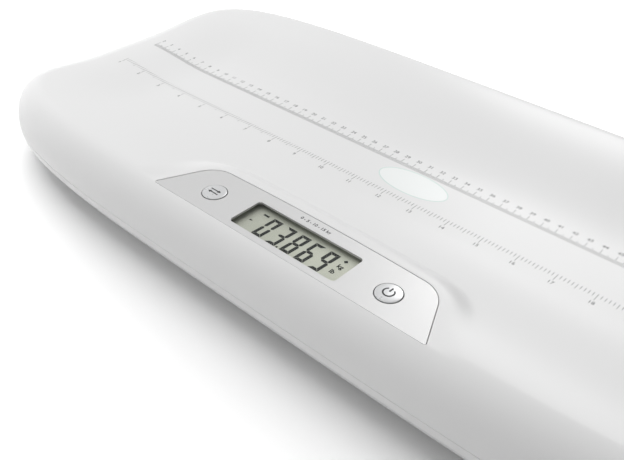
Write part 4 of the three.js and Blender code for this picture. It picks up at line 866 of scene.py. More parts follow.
class SCALE_OT_top_shell(PieceOperator):
    """Make the tray moulding with its rolled rim and the seat of the panel"""
    bl_idname = "scale.top_shell"
    bl_label = "Tray moulding"

    def make(self, given):
        stations = outline_stations(given.body.fine_step / MM, given.body.coarse_step / MM)
        outer = [ring(stations, SEAM_INSET + SEAM_ROUNDING, SHELL_BOTTOM),
                 ring(stations, SEAM_INSET + SEAM_ROUNDING * 0.3, SHELL_BOTTOM + SEAM_ROUNDING * 0.3),
                 ring(stations, SEAM_INSET, SHELL_BOTTOM + SEAM_ROUNDING)]
        for share, groove in ((0.2, 0), (0.4, 0), (0.6, 0), (0.8, 0), (0.86, 0.05), (0.88, WAIST_LINE),
                              (0.93, WAIST_LINE), (0.95, 0.05), (1.0, 0)):
            outer.append(ring(stations, SEAM_INSET * (1 - share) ** 2 + groove,
                              SHELL_BOTTOM + SEAM_ROUNDING + share * (WAIST_HEIGHT - SHELL_BOTTOM - SEAM_ROUNDING)))
        roll_steps = 38
        outer += [roll_ring(stations, math.pi / 2 * (1 - i / roll_steps), 0) for i in range(1, roll_steps + 1)]
        crest = DEPTH / 2 - ROLL_WIDTH
        lines = [*np.arange(crest - 1.5, 66, -1.1), *np.arange(64, 32, -3.5), *np.arange(31, 20, -2), 14, 7]
        outer += [ring(stations, ROLL_WIDTH, tray_height, line / crest) for line in lines]
        outer = [with_island(points) for points in outer]
        inner = self.inner_rings(stations, WALL)
        shell = skin("top_shell", [*inner[::-1], *outer], (0, 0, TRAY_HEIGHT - WALL), (0, 0, TRAY_HEIGHT))
        self.add_ribs(shell, stations)
        self.cut_seat(shell)
        dress(shell, tray_gloss(), "tray_gloss", "top_shell", sharp=42)

    def inner_rings(self, stations, depth):
        rings = [ring(stations, SEAM_INSET + depth, SHELL_BOTTOM), ring(stations, depth, WAIST_HEIGHT)]
        rings += [roll_ring(stations, math.pi / 2 * (1 - i / 6), depth) for i in range(1, 7)]
        for share in (0.9, 0.79, 0.66, 0.53, 0.4, 0.27, 0.13):
            rings.append(ring(stations, ROLL_WIDTH, lambda x, y: tray_height(x, y) - depth, share))
        return rings

    def add_ribs(self, shell, stations):
        end = LENGTH / 2
        ribs, tool = (rib_along(-end, end, y, TRAY_RIB_BOTTOM, RIM_HEIGHT) for y in (TRAY_RIB_Y, -TRAY_RIB_Y))
        tools = [rib_across(side * x, -DEPTH / 2, DEPTH / 2, TRAY_RIB_BOTTOM + RIB_HALF, RIM_HEIGHT)
                 for side in (-1, 1) for x in TRAY_RIB_X]
        tools += [rod(BOSS_RADIUS, BOSS_MEET + CLEARANCE, RIM_HEIGHT, x, y, 32) for x, y in BOSS_PLACES]
        add_all(ribs, tool, *tools)
        core = skin("core", self.inner_rings(stations, SKIN_DEPTH), (0, 0, SHELL_BOTTOM),
                    (0, 0, TRAY_HEIGHT - SKIN_DEPTH))
        combine(ribs, "INTERSECT", core)
        add_all(shell, ribs, straight("seat", panel_outline(ISLAND_MARGIN, 0), SEAT_BOTTOM,
                                      PANEL_TOP - PANEL_THICKNESS))

    def cut_seat(self, shell):
        edge, top = SEAT_BEVEL, RIM_HEIGHT + 2
        cut_all(
            shell,
            straight("pocket", panel_outline(-POCKET_INSET, 0), SEAT_BOTTOM - POCKET_DEPTH, SEAT_BOTTOM),
            stack("seat", [(panel_outline(PANEL_GAP), SEAT_TOP), (panel_outline(PANEL_GAP), PANEL_TOP - edge),
                           (panel_outline(PANEL_GAP + edge * 0.4, PANEL_GAP), PANEL_TOP - edge * 0.3),
                           (panel_outline(PANEL_GAP + edge, PANEL_GAP), PANEL_TOP),
                           (panel_outline(PANEL_GAP + edge, PANEL_GAP), top)]),
            straight("pane", window_outline(LENS_MARGIN + CLEARANCE), SEAT_BOTTOM - 2, SEAT_TOP + 2),
            *[rod(KEY_RADIUS + KEY_GAP, SEAT_BOTTOM - 2, SEAT_TOP + 2, side * KEY_X, KEY_Y, 72) for side in (-1, 1)])
        add_all(shell, *[rod(BOARD_BOSS_RADIUS, BOARD_TOP + CLEARANCE, SEAT_BOTTOM + SEAT_THICKNESS / 2, x, y, 24)
                         for x, y in BOARD_HOLES])
        pilot_top = BASE_HEIGHT + HEAD_HEIGHT + SHANK_LENGTH + SINK + CLEARANCE
        cut_all(shell, *[rod(BOARD_PILOT_RADIUS, BOARD_TOP - 2, SEAT_BOTTOM, x, y, 24) for x, y in BOARD_HOLES],
                *[rod(SHANK_RADIUS + CLEARANCE, BOSS_MEET - 2, pilot_top, x, y, 24) for x, y in BOSS_PLACES])


class SCALE_OT_bottom_cover(PieceOperator):
    """Make the bottom cover with its foot wells, screw bosses and battery bay"""
    bl_idname = "scale.bottom_cover"
    bl_label = "Bottom cover"

    def make(self, given):
        step = given.body.coarse_step / MM
        stations = outline_stations(step, step)
        rings = [ring(stations, inset, z) for inset, z in (
            *UNDERCUT, (LIP_OUT, COVER_TOP), (LIP_OUT, LIP_TOP - LIP_BEVEL), (LIP_OUT + LIP_BEVEL, LIP_TOP),
            (LIP_IN, LIP_TOP), (LIP_IN, 15.5), (8.2, 12.6), (10.5, FLOOR_TOP))]
        cover = skin("bottom_cover", rings, (0, 0, BASE_HEIGHT), (0, 0, FLOOR_TOP))
        added, taken = [], []
        self.add_ribs(added)
        for side_x, side_y in CORNERS.values():
            self.add_well(added, taken, side_x * FOOT_X, side_y * FOOT_Y, side_y)
        for x, y in BOSS_PLACES:
            added.append(rod(COVER_BOSS_RADIUS, WELL_BASE, BOSS_MEET, x, y, 32))
            taken += [rod(HEAD_RADIUS + CLEARANCE, BASE_HEIGHT - 2, BOSS_MEET - HEAD_FLOOR, x, y, 40),
                      rod(SHANK_RADIUS + CLEARANCE, BASE_HEIGHT, BOSS_MEET + 2, x, y, 24)]
        self.add_bay(added, taken)
        add_all(cover, *added)
        cut_all(cover, *taken)
        dress(cover, cover_white(), "cover_white", "bottom_cover")

    def add_ribs(self, added):
        top, bay_edge, well_edge = FLOOR_TOP + COVER_RIB_HEIGHT, BAY_RIGHT + BAY_WALL / 2, FOOT_X - PAD_RADIUS
        for side in (-1, 1):
            added.append(rib_along(-FOOT_X, FOOT_X, side * FOOT_Y, WELL_BASE, top))
            near, far = sorted((side * bay_edge, side * (LENGTH / 2 - COVER_RIB_END)))
            added.append(rib_along(near, far, 0, WELL_BASE, top))
            added.append(rib_across(side * (well_edge + bay_edge) / 2, -FOOT_Y, FOOT_Y, WELL_BASE, top - RIB_HALF))

    def add_well(self, added, taken, x, y, side):
        added.append(square(WELL_HALF, WELL_BASE, CELL_TOP, x, y))
        taken += [square(WELL_POCKET, FLOOR_TOP, CELL_SEAT + 2, x, y),
                  square(CELL_POCKET, CELL_SEAT, CELL_TOP + 2, x, y),
                  rod(NECK_HOLE, BASE_HEIGHT - 2, FLOOR_TOP + 2, x, y, 72)]
        near, far = sorted((y, y - side * (WELL_HALF + 2)))
        taken.append(block(x - NOTCH_HALF, x + NOTCH_HALF, near, far, NOTCH_BOTTOM, CELL_TOP + 2))
        for hand in (-1, 1):
            added += [rod(radius, z0, z1, x + hand * STAKE_X, y, 32) for radius, z0, z1 in (
                (STAKE_FOOT_RADIUS, WELL_BASE, CELL_TOP), (STAKE_RADIUS, WELL_BASE, STAKE_TOP),
                (STAKE_HEAD_RADIUS, STAKE_HEAD_BOTTOM, STAKE_TOP))]

    def add_bay(self, added, taken):
        added.append(block(BAY_LEFT - BAY_WALL, BAY_RIGHT + BAY_WALL, -BAY_HALF - BAY_WALL, BAY_HALF + BAY_WALL,
                           WELL_BASE, BAY_TOP + 2))
        ledge = BAY_LEFT - DOOR_LEDGE
        taken += [
            block(BAY_LEFT, BAY_RIGHT, -BAY_HALF, BAY_HALF, BASE_HEIGHT - 2, BAY_TOP),
            block(ledge, PIN_X - HINGE_CHEEK, -BAY_HALF - DOOR_LEDGE, BAY_HALF + DOOR_LEDGE, BASE_HEIGHT - 2,
                  DOOR_TOP + CLEARANCE),
            block(ledge - GRIP_SETBACK, BAY_LEFT, -GRIP_HALF, GRIP_HALF, BASE_HEIGHT - 2, DOOR_TOP - 1),
            along_y(PIN_RADIUS + CLEARANCE, -BAY_HALF - PIN_LENGTH, BAY_HALF + PIN_LENGTH, PIN_X, PIN_Z)]
        taken += [along_y(1.3, -BAY_HALF - BAY_WALL - 2, -BAY_HALF + 2, x, BATTERY_Z)
                  for x in (BATTERY_X[0], BATTERY_X[-1])]


def along_y(radius, y0, y1, x, z, sides=32):
    """A rod that lies along Y."""
    lying = rod(radius, y0, y1, 0, 0, sides)
    return reshape(lying, lambda points: np.column_stack([points[:, 0] + x, points[:, 2], z - points[:, 1]]))


def lie_down(made, x, z, facing):
    """Lays a piece that was turned about Z along Y, towards +Y or -Y."""
    return reshape(made, lambda points: np.column_stack(
        [x + facing * points[:, 0], facing * points[:, 2], z - points[:, 1]]))


class SCALE_OT_control_panel(PieceOperator):
    """Make the silver panel with its window and key holes"""
    bl_idname = "scale.control_panel"
    bl_label = "Control panel"

    def make(self, given):
        edge = given.panel.edge / MM
        bottom = PANEL_TOP - PANEL_THICKNESS
        front = PANEL_GAP - 0.06
        levels = [(panel_outline(-PLATE_BEVEL, front), bottom), (panel_outline(0, front), bottom + PLATE_BEVEL)]
        for inset, z in ((0, edge), (0.08, 0.62 * edge), (0.29, 0.29 * edge), (0.62, 0.08 * edge), (1, 0)):
            levels.append((panel_outline(-inset * edge, front), PANEL_TOP - z))
        panel = stack("control_panel", levels)
        wide = WINDOW_BEVEL
        cutters = [stack("window", [(window_outline(WINDOW_PLAY + margin), z) for margin, z in (
            (0, bottom - 1), (0, PANEL_TOP - wide), (0.3 * wide, PANEL_TOP - 0.35 * wide), (wide, PANEL_TOP),
            (wide, PANEL_TOP + 1))])]
        for side in (-1, 1):
            hole, bevel = KEY_RADIUS + KEY_GAP, HOLE_BEVEL
            cutters.append(stack("hole", [
                (circle(radius, side * KEY_X, KEY_Y, 96), z)
                for radius, z in ((hole, bottom - 1), (hole, PANEL_TOP - bevel),
                                  (hole + bevel / 3, PANEL_TOP - bevel / 3), (hole + bevel, PANEL_TOP),
                                  (hole + bevel, PANEL_TOP + 1))]))
        cut_all(panel, *cutters)
        dress(panel, panel_silver(), "panel_silver", "control_panel", sharp=8)
        numbers = lettering(RANGE_TEXT, RANGE_HEIGHT, 0, RANGE_Y, 0.04, 0.07)
        dress(face_out(moved(numbers, 0, 0, PANEL_TOP)), mark_grey(), "switch_black").name = "panel_numbers"


def crown_height(distance):
    """Height of a key's dome at a distance from its middle; it leaves room for the mark."""
    shoulder = PANEL_TOP + KEY_PROUD - KEY_CROWN
    return shoulder + (KEY_CROWN - MARK_SUNK) * np.sqrt(np.clip(1 - (distance / KEY_RADIUS) ** 2, 0, 1))


class SCALE_OT_keys(PieceOperator):
    """Make the two domed keys with their printed symbols"""
    bl_idname = "scale.keys"
    bl_label = "Keys"

    def make(self, given):
        top = SEAT_BOTTOM - CLEARANCE
        low = top - KEY_FLANGE_THICKNESS
        dome = [(KEY_RADIUS * math.cos(a), float(crown_height(KEY_RADIUS * math.cos(a))))
                for a in np.linspace(0, math.pi / 2, 22)[:-1]]
        flange = KEY_RADIUS + KEY_FLANGE
        profile = [(0, low), (flange - FLANGE_BEVEL, low), (flange, low + FLANGE_BEVEL),
                   (flange, top - FLANGE_BEVEL), (flange - FLANGE_BEVEL, top), (KEY_RADIUS, top),
                   *dome, (0, float(crown_height(0)))]
        for name, side in (("unit", -1), ("power", 1)):
            cap = turned(f"{name}_cap", profile, side * KEY_X, KEY_Y, 96)
            dress(cap, key_silver(), "key_silver", f"{name}_button", body=f"{name}_key")
            mark = joined(f"{name}_mark", self.power_mark() if side > 0 else self.swap_mark())
            reshape(mark, lambda points, x=side * KEY_X: self.on_dome(points, x))
            dress(mark, mark_grey(), "switch_black", body=f"{name}_key")

    def on_dome(self, points, x):
        height = crown_height(np.hypot(points[:, 0], points[:, 1]))
        z = height - MARK_SUNK + np.where(points[:, 2] > MARK_THICKNESS / 2, MARK_DEPTH, 0)
        return np.column_stack([points[:, 0] + x, points[:, 1] + KEY_Y, z])

    def power_mark(self):
        arc = np.radians(np.linspace(RING_FROM, RING_TO, 49))
        ring_line = np.column_stack([RING_RADIUS * np.cos(arc), RING_RADIUS * np.sin(arc)])
        stem = np.column_stack([np.zeros(7), np.linspace(STEM_FOOT, STEM_TIP, 7)])
        return [ribbon(line, RING_STROKE, MARK_THICKNESS) for line in (ring_line, stem)]

    def swap_mark(self):
        parts = []
        for way in (1, -1):
            shaft = np.column_stack([np.linspace(-ARROW_TAIL, ARROW_NECK, 12) * way, np.full(12, ARROW_Y * way)])
            parts.append(ribbon(shaft, ARROW_STROKE, MARK_THICKNESS))
            head = np.array([(ARROW_BARB, ARROW_Y - ARROW_HALF), (ARROW_TIP, ARROW_Y),
                             (ARROW_BARB, ARROW_Y + ARROW_HALF)]) * way
            parts.append(prism(head, 0, MARK_THICKNESS))
        return parts


class SCALE_OT_display(PieceOperator):
    """Make the pane, the display glass and its digits"""
    bl_idname = "scale.display"
    bl_label = "Display"

    def make(self, given):
        pane = bevelled("display_pane", lambda inset: window_outline(LENS_MARGIN - inset),
                        SEAT_TOP - LENS_THICKNESS, SEAT_TOP, PLATE_BEVEL)
        clear = finish("clear pane", (0.35, 0.36, 0.36), 0.04, mottle=0.0, spread=0.02, grain=(200.0, 0.01), alpha=0.03)
        dress(pane, clear, "lens_clear", "display_lens")
        width, depth = WINDOW_WIDTH + 2 * LCD_MARGIN, WINDOW_DEPTH + 2 * LCD_MARGIN
        glass = bevelled("display_glass", lambda inset: rectangle_outline(
            width - 2 * inset, depth - 2 * inset, 0.4, 0, WINDOW_MIDDLE, 3), LCD_TOP - LCD_THICKNESS, LCD_TOP, 0.1)
        dress(glass, display_green(), "lcd_green", "lcd_glass")
        digits = joined("display_digits", self.digit_pieces(given.panel.reading))
        black = finish("display black", (0.012, 0.014, 0.012), 0.4, mottle=0.05, mottle_scale=300, grain=(3000.0, 0.02),
                       specular=0.12)
        dress(digits, black, "lcd_green")

    def digit_pieces(self, reading):
        parts = []
        place = 0
        for mark in reading:
            if mark == ".":
                x, half = DIGIT_X[place - 1] + DIGIT_WIDTH + POINT_GAP, POINT_SIZE / 2
                parts.append(self.plate([(-half, 0), (half, 0), (half, POINT_SIZE), (-half, POINT_SIZE)], x))
                continue
            for segment in DIGITS[mark]:
                parts.append(self.plate(segment_outline(segment), DIGIT_X[place]))
            place += 1
        for text, x, y in DISPLAY_UNITS:
            parts.append(moved(lettering(text, UNIT_HEIGHT, x, y, 0.03, 0.14), 0, 0, LCD_TOP + 0.025))
        for outline, x, y in DISPLAY_SIGNS:
            parts.append(self.plate(outline, x, y))
        return parts

    def plate(self, outline, x, y=DIGIT_Y):
        points = [(x + u + DIGIT_SLANT * v / DIGIT_HEIGHT, y + v) for u, v in outline]
        return prism(points, LCD_TOP + 0.01, LCD_TOP + 0.04)


def segment_outline(segment):
    """Outline of one of the seven segments, from the foot of its digit."""
    w, h, s, g = DIGIT_WIDTH, DIGIT_HEIGHT, DIGIT_STROKE, DIGIT_GAP
    middle = h / 2
    upper = [(0, h - g), (s, h - s - g), (s, middle + s / 2 + g), (s / 2, middle + g), (0, middle + s / 2 + g)]
    shapes = {
        "A": [(g, h), (w - g, h), (w - s - g, h - s), (s + g, h - s)],
        "G": [(s / 2 + g, middle), (s + g, middle + s / 2), (w - s - g, middle + s / 2), (w - s / 2 - g, middle),
              (w - s - g, middle - s / 2), (s + g, middle - s / 2)],
        "F": upper,
    }
    shapes["D"] = [(u, h - v) for u, v in shapes["A"]]
    shapes["B"] = [(w - u, v) for u, v in upper]
    shapes["E"] = [(u, h - v) for u, v in upper]
    shapes["C"] = [(w - u, h - v) for u, v in upper]
    return shapes[segment]


class SCALE_OT_rulers(PieceOperator):
    """Print the two rulers and the oval between them on the tray"""
    bl_idname = "scale.rulers"
    bl_label = "Rulers and oval"

    def make(self, given):
        thickness = PRINT_THICKNESS
        tree = tick_tree()
        width = given.prints.tick_width
        for name, (first, last), pitch, edge, side, lengths, label_y in RULERS:
            ticks = piece(f"{name}_ticks", [(0, 0, 0)], [])
            run_tree(ticks, tree, {
                "Count": (last - first) * 10 + 1, "Pitch": pitch / 10 * MM, "Start": (ZERO_X + first * pitch) * MM,
                "Edge": edge * MM, "Side": float(side), "Width": width, "Short": lengths[0] * MM,
                "Middle": lengths[1] * MM, "Long": lengths[2] * MM, "Thickness": thickness * MM,
                "Material": ruler_ink()})
            dress(lay_on_tray(ticks, thickness), None, "switch_black")
            height = given.prints.label_height / MM
            labels = [lettering(str(number), height, ZERO_X + number * pitch, label_y, thickness)
                      for number in range(first, last + 1)]
            numbers = face_out(lay_on_tray(joined(f"{name}_numbers", labels), thickness))
            dress(numbers, ruler_ink(), "switch_black")
        turn = np.linspace(0, 2 * math.pi, 120, endpoint=False)
        oval = np.column_stack([OVAL_WIDTH / 2 * np.cos(turn) + OVAL_X, OVAL_DEPTH / 2 * np.sin(turn) + OVAL_Y])
        badge = prism(oval, TRAY_HEIGHT - PRINT_SUNK, TRAY_HEIGHT + OVAL_PROUD)
        line = moved(ribbon(oval, OVAL_LINE, 2 * PRINT_SUNK, closed=True), 0, 0, TRAY_HEIGHT - PRINT_SUNK)
        for made, name, label, colour, mottle in (
                (badge, "tray_oval", "pale print", given.prints.oval_colour, 0.012),
                (line, "tray_oval_line", "mint print", given.prints.line_colour, 0.03)):
            made.name = name
            ink = finish(label, colour, 0.34, mottle=mottle, mottle_scale=80, grain=(1500.0, 0.04))
            dress(made, ink, "tray_gloss")


class SCALE_OT_feet(PieceOperator):
    """Make the four foot cups and their rubber pads"""
    bl_idname = "scale.feet"
    bl_label = "Feet"

    def make(self, given):
        grey = finish("pad rubber", (0.20, 0.205, 0.21), 0.75, mottle=0.12, mottle_scale=90, spread=0.1,
                      grain=(2600.0, 0.5))
        hook_top, hollow = FLOOR_TOP + HOOK_RISE, NECK_RADIUS - NECK_WALL
        cup_profile = [
            (0, CUP_FLOOR), (PAD_RADIUS + CLEARANCE, CUP_FLOOR), (PAD_RADIUS + CLEARANCE, CUP_LOW + CLEARANCE),
            (PAD_RADIUS + 2 * CLEARANCE, CUP_LOW), *rounding(FOOT_RADIUS, CUP_LOW + CUP_EDGE, CUP_EDGE, -CUP_EDGE),
            (FOOT_RADIUS, CUP_SHOULDER), *rounding(FOOT_RADIUS, CUP_SHOULDER, CUP_ROUNDING, CUP_ROUNDING)[1:],
            (NECK_RADIUS, CUP_TOP), (NECK_RADIUS, NECK_TOP), (NECK_RADIUS + HOOK_REACH, NECK_TOP),
            (NECK_RADIUS, hook_top), (hollow, hook_top), (hollow, NECK_FLOOR), (PLUG_RADIUS, NECK_FLOOR),
            (PLUG_RADIUS, CELL_SEAT - CLEARANCE), (PLUG_RADIUS - CLEARANCE, CELL_SEAT), (0, CELL_SEAT)]
        groove = []
        for radius in PAD_GROOVES:
            groove += [(radius - GROOVE_HALF, 0), (radius - GROOVE_FLOOR, GROOVE_HALF),
                       (radius + GROOVE_FLOOR, GROOVE_HALF), (radius + GROOVE_HALF, 0)]
        pad_profile = [(0, 0), *groove, (PAD_RADIUS - PAD_FLAT, 0),
                       *rounding(PAD_RADIUS, PAD_EDGE, PAD_EDGE, -PAD_EDGE), (PAD_RADIUS, PAD_TOP), (0, PAD_TOP)]
        near, far, half = SLOT_FROM, SLOT_TO, SLOT_HALF
        slots = ((near, far, -half, half), (-far, -near, -half, half),
                 (-half, half, near, far), (-half, half, -far, -near))
        for name, (side_x, side_y) in CORNERS.items():
            x, y = side_x * FOOT_X, side_y * FOOT_Y
            cup = turned(f"foot_cup_{name}_shape", cup_profile, x, y)
            for x0, x1, y0, y1 in slots:
                cut_all(cup, block(x + x0, x + x1, y + y0, y + y1, SLOT_BOTTOM, hook_top + 2))
            dress(cup, cover_white(), "white_plastic", f"foot_cup_{name}", body=f"foot_{name}")
            pad = turned(f"foot_pad_{name}_shape", pad_profile, x, y)
            dress(pad, grey, "pad_rubber", f"foot_pad_{name}", body=f"foot_{name}")


class SCALE_OT_screws(PieceOperator):
    """Make the housing screws and the board screws"""
    bl_idname = "scale.screws"
    bl_label = "Screws"

    def make(self, given):
        steel = screw_steel()
        tree = screw_tree()
        sets = (
            ("housing_screws", [(x, y, BASE_HEIGHT + SINK) for x, y in BOSS_PLACES],
             HOUSING_SCREW, [f"housing_screw_{i}" for i in range(1, 9)]),
            ("board_screws", [(x, y, BOARD_BOTTOM - CLEARANCE - BOARD_SCREW[1]) for x, y in BOARD_HOLES],
             BOARD_SCREW, [f"board_screw_{i}" for i in range(1, 5)]),
        )
        for name, places, sizes, nodes in sets:
            screws = piece(name, places, [])
            values = {label: size * MM for label, size in zip(SCREW_LABELS, sizes)}
            run_tree(screws, tree, {**values, "Material": steel})
            dress(screws, None, "screw_steel", *nodes)


class SCALE_OT_battery_door(PieceOperator):
    """Make the battery door with its pins, knuckles and finger ribs"""
    bl_idname = "scale.battery_door"
    bl_label = "Battery door"

    def make(self, given):
        left, right = BAY_LEFT - DOOR_LEDGE + DOOR_GAP, BAY_RIGHT - DOOR_HINGE_GAP
        half = BAY_HALF + DOOR_LEDGE - DOOR_GAP
        step, hinge_half = PIN_X - DOOR_STEP, BAY_HALF - CLEARANCE
        plates = []
        for x0, x1, y1 in ((left, step, half), (left + DOOR_LAP, right, hinge_half)):
            levels = [(rectangle_outline(x1 - x0 - 2 * inset, 2 * (y1 - inset), DOOR_CORNER, (x0 + x1) / 2, 0), z)
                      for inset, z in ((DOOR_BEVEL, BASE_HEIGHT), (0.12, BASE_HEIGHT + 0.12),
                                       (0, BASE_HEIGHT + DOOR_BEVEL), (0, DOOR_TOP - PLATE_BEVEL),
                                       (PLATE_BEVEL, DOOR_TOP))]
            plates.append(stack("battery_door_shape", levels))
        door = add_all(*plates)
        edge = block(right - 1, right + 1, -half - 1, half + 1, BASE_HEIGHT - 1, BASE_HEIGHT + 1)
        reshape(edge, lambda points: points + np.outer(points[:, 2] - BASE_HEIGHT, (1, 0, 0)))
        cut_all(door, edge)
        for side in (-1, 1):
            outer = side * (BAY_HALF - CLEARANCE)
            inner = outer - side * KNUCKLE_LENGTH
            for radius, end in ((KNUCKLE_RADIUS, outer), (PIN_RADIUS, outer + side * PIN_LENGTH)):
                add_all(door, along_y(radius, min(inner, end), max(inner, end), PIN_X, PIN_Z))
        for i in range(3):
            start, half_rib = left + GRIP_SETBACK + 2 * GRIP_RIB * i, GRIP_RIB / 2
            add_all(door, block(start, start + GRIP_RIB, -GRIP_HALF, GRIP_HALF, BASE_HEIGHT - half_rib,
                                BASE_HEIGHT + half_rib))
        dress(door, cover_white(), "cover_white", "battery_door", body="door")


class SCALE_OT_batteries(PieceOperator):
    """Make the four cells of the battery bay"""
    bl_idname = "scale.batteries"
    bl_label = "Batteries"

    def make(self, given):
        jacket = finish("battery jacket", (0.05, 0.065, 0.08), 0.3, metallic=0.3, coat=0.4, mottle=0.1,
                        mottle_scale=200, grain=(1500.0, 0.05))
        steel = screw_steel()
        tip = BAY_HALF - 2 * CLEARANCE - BATTERY_PLAY
        shoulder = tip - BATTERY_NUB
        base = shoulder - BATTERY_CAN
        profile = [(0, base + 0.3), (4.6, base + 0.3), (5.0, base), (6.4, base), (6.7, base + 0.4), (6.9, base + 0.5),
                   (BATTERY_RADIUS, base + 0.9), (BATTERY_RADIUS, shoulder - 0.6), (6.8, shoulder - 0.1),
                   (6.2, shoulder), (5.6, shoulder - 0.35), (3.2, shoulder - 0.35), (2.7, shoulder - 0.1),
                   (2.7, tip - 0.35), (2.4, tip - 0.06), (2.0, tip), (0, tip)]
        for number, x in enumerate(BATTERY_X, 1):
            facing = 1 if number % 2 else -1
            cell = lie_down(turned(f"battery_{number}_shape", profile, sides=56), x, BATTERY_Z, facing)
            dress(cell, jacket, "battery_jacket", f"battery_{number}")
            cell.data.materials.append(steel)
            for polygon in cell.data.polygons:
                place = polygon.center / MM
                along = facing * place.y
                away = math.hypot(place.x - x, place.z - BATTERY_Z)
                if away < BATTERY_FACE and (along > shoulder - 1 or along < base + 1):
                    polygon.material_index = 1


class SCALE_OT_contacts(PieceOperator):
    """Make the battery contacts: plates, and a spring behind each flat end"""
    bl_idname = "scale.contacts"
    bl_label = "Battery contacts"

    def make(self, given):
        nickel = finish("contact nickel", (0.68, 0.66, 0.62), 0.25, metallic=1.0, mottle=0.08, mottle_scale=250,
                        spread=0.12, grain=(2500.0, 0.1))
        face, half = BAY_HALF - CLEARANCE - PLATE_THICKNESS, PLATE_WIDTH / 2
        plates = []
        for first, last, side in ((0, 0, -1), (0, 1, 1), (1, 2, -1), (2, 3, 1), (3, 3, -1)):
            x0, x1 = BATTERY_X[first] - half, BATTERY_X[last] + half
            plate = bevelled("plate", lambda inset: rectangle_outline(
                x1 - x0 - 2 * inset, PLATE_WIDTH - 2 * inset, PLATE_CORNER, (x0 + x1) / 2, 0), 0, PLATE_THICKNESS, 0.08)
            plates.append(reshape(plate, lambda points, side=side: np.column_stack(
                [points[:, 0], side * (face + points[:, 2]), BATTERY_Z + points[:, 1]])))
        names = ("negative", "link_1", "link_2", "link_3", "positive")
        dress(face_out(joined("battery_contacts", plates)), nickel, "contact_nickel",
              *[f"battery_contact_{name}" for name in names])
        places = [(x, (-1 if i % 2 == 0 else 1) * face, BATTERY_Z) for i, x in enumerate(BATTERY_X)]
        springs = run_tree(piece("battery_springs", places, []), spring_tree(), {
            "Turns": SPRING_TURNS, "Base Radius": SPRING_BASE * MM, "Tip Radius": SPRING_TIP * MM,
            "Height": SPRING_LENGTH * MM, "Wire Radius": SPRING_WIRE * MM, "Material": nickel})
        dress(springs, None, "contact_nickel")


class SCALE_OT_leads(PieceOperator):
    """Make the leads of the load cells and of the battery bay"""
    bl_idname = "scale.leads"
    bl_label = "Leads"

    def make(self, given):
        grey = finish("lead grey", (0.10, 0.105, 0.11), 0.45, mottle=0.1, mottle_scale=200, grain=(2500.0, 0.2))
        routes = {}
        for (name, (end, side)), pin in zip(CORNERS.items(), LEAD_PINS):
            x, y, lane = end * FOOT_X, side * (FOOT_Y - CELL_LEAD_SETBACK), LEAD_LANES[side]
            routes[f"load_cell_lead_{name}"] = [
                (x, y, LEAD_EXIT), (x, y - side * LEAD_BEND / 2, LEAD_EXIT),
                (x - end * LEAD_BEND, y - side * LEAD_BEND, LEAD_HEIGHT), (end * LANE_START, lane, LEAD_HEIGHT),
                (end * LANE_END, lane - LEAD_BEND, LEAD_HEIGHT),
                (pin * PIN_PITCH + end * LEAD_BEND, HEADER_Y + 2 * LEAD_BEND, LEAD_HEIGHT + LEAD_RISE),
                *self.header_end(pin)]
        for name, x, pin in (("negative", BATTERY_X[0], -1), ("positive", BATTERY_X[-1], 1)):
            routes[f"battery_lead_{name}"] = [
                (x, -BAY_HALF - LEAD_JOIN, BATTERY_Z), (x, -BAY_HALF - BAY_WALL - LEAD_RISE, BATTERY_Z),
                (x, -BAY_HALF - LEAD_BEND, LEAD_HEIGHT),
                (pin * PIN_PITCH, HEADER_Y + LEAD_BEND, LEAD_HEIGHT + LEAD_RISE), *self.header_end(pin)]
        for name, route in routes.items():
            dress(tube(f"{name}_shape", route, LEAD_RADIUS), grey, "lead_grey", name)

    def header_end(self, pin):
        return [(pin * PIN_PITCH, HEADER_Y, HEADER_BOTTOM - below) for below in (LEAD_BEND / 2, CLEARANCE)]


class SCALE_OT_inner_finishes(PieceOperator):
    """Give the inner CAD pieces their finishes"""
    bl_idname = "scale.inner_finishes"
    bl_label = "Finishes of the inner pieces"

    def make(self, given):
        finishes = {
            "lcd_frame": finish("frame grey", (0.60, 0.61, 0.61), 0.55, grain=(4000.0, 0.3)),
            "lcd_contact_strip": finish("strip rubber", (0.02, 0.02, 0.022), 0.8, mottle=0.3, mottle_scale=500,
                                        grain=(3000.0, 0.3)),
            "circuit_board": circuit_green(),
            "load_cell_": finish("cell steel", (0.60, 0.61, 0.62), 0.36, metallic=1.0, mottle=0.1,
                                 mottle_scale=120, spread=0.2, grain=(1800.0, 0.15)),
            "load_cell_holder_": cover_white(),
            "switch": finish("switch black", (0.02, 0.02, 0.022), 0.5, mottle=0.1, mottle_scale=200,
                             grain=(4000.0, 0.3)),
            "plunger": cover_white(),
            "board_header": cover_white(),
        }
        for name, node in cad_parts.items():
            if node.hide_render:
                continue
            keys = [key for key in finishes if key in name]
            if not keys:
                raise RuntimeError(f"no finish for {name}")
            node.data.materials.clear()
            node.data.materials.append(finishes[keys[-1] if "plunger" in name else max(keys, key=len)])


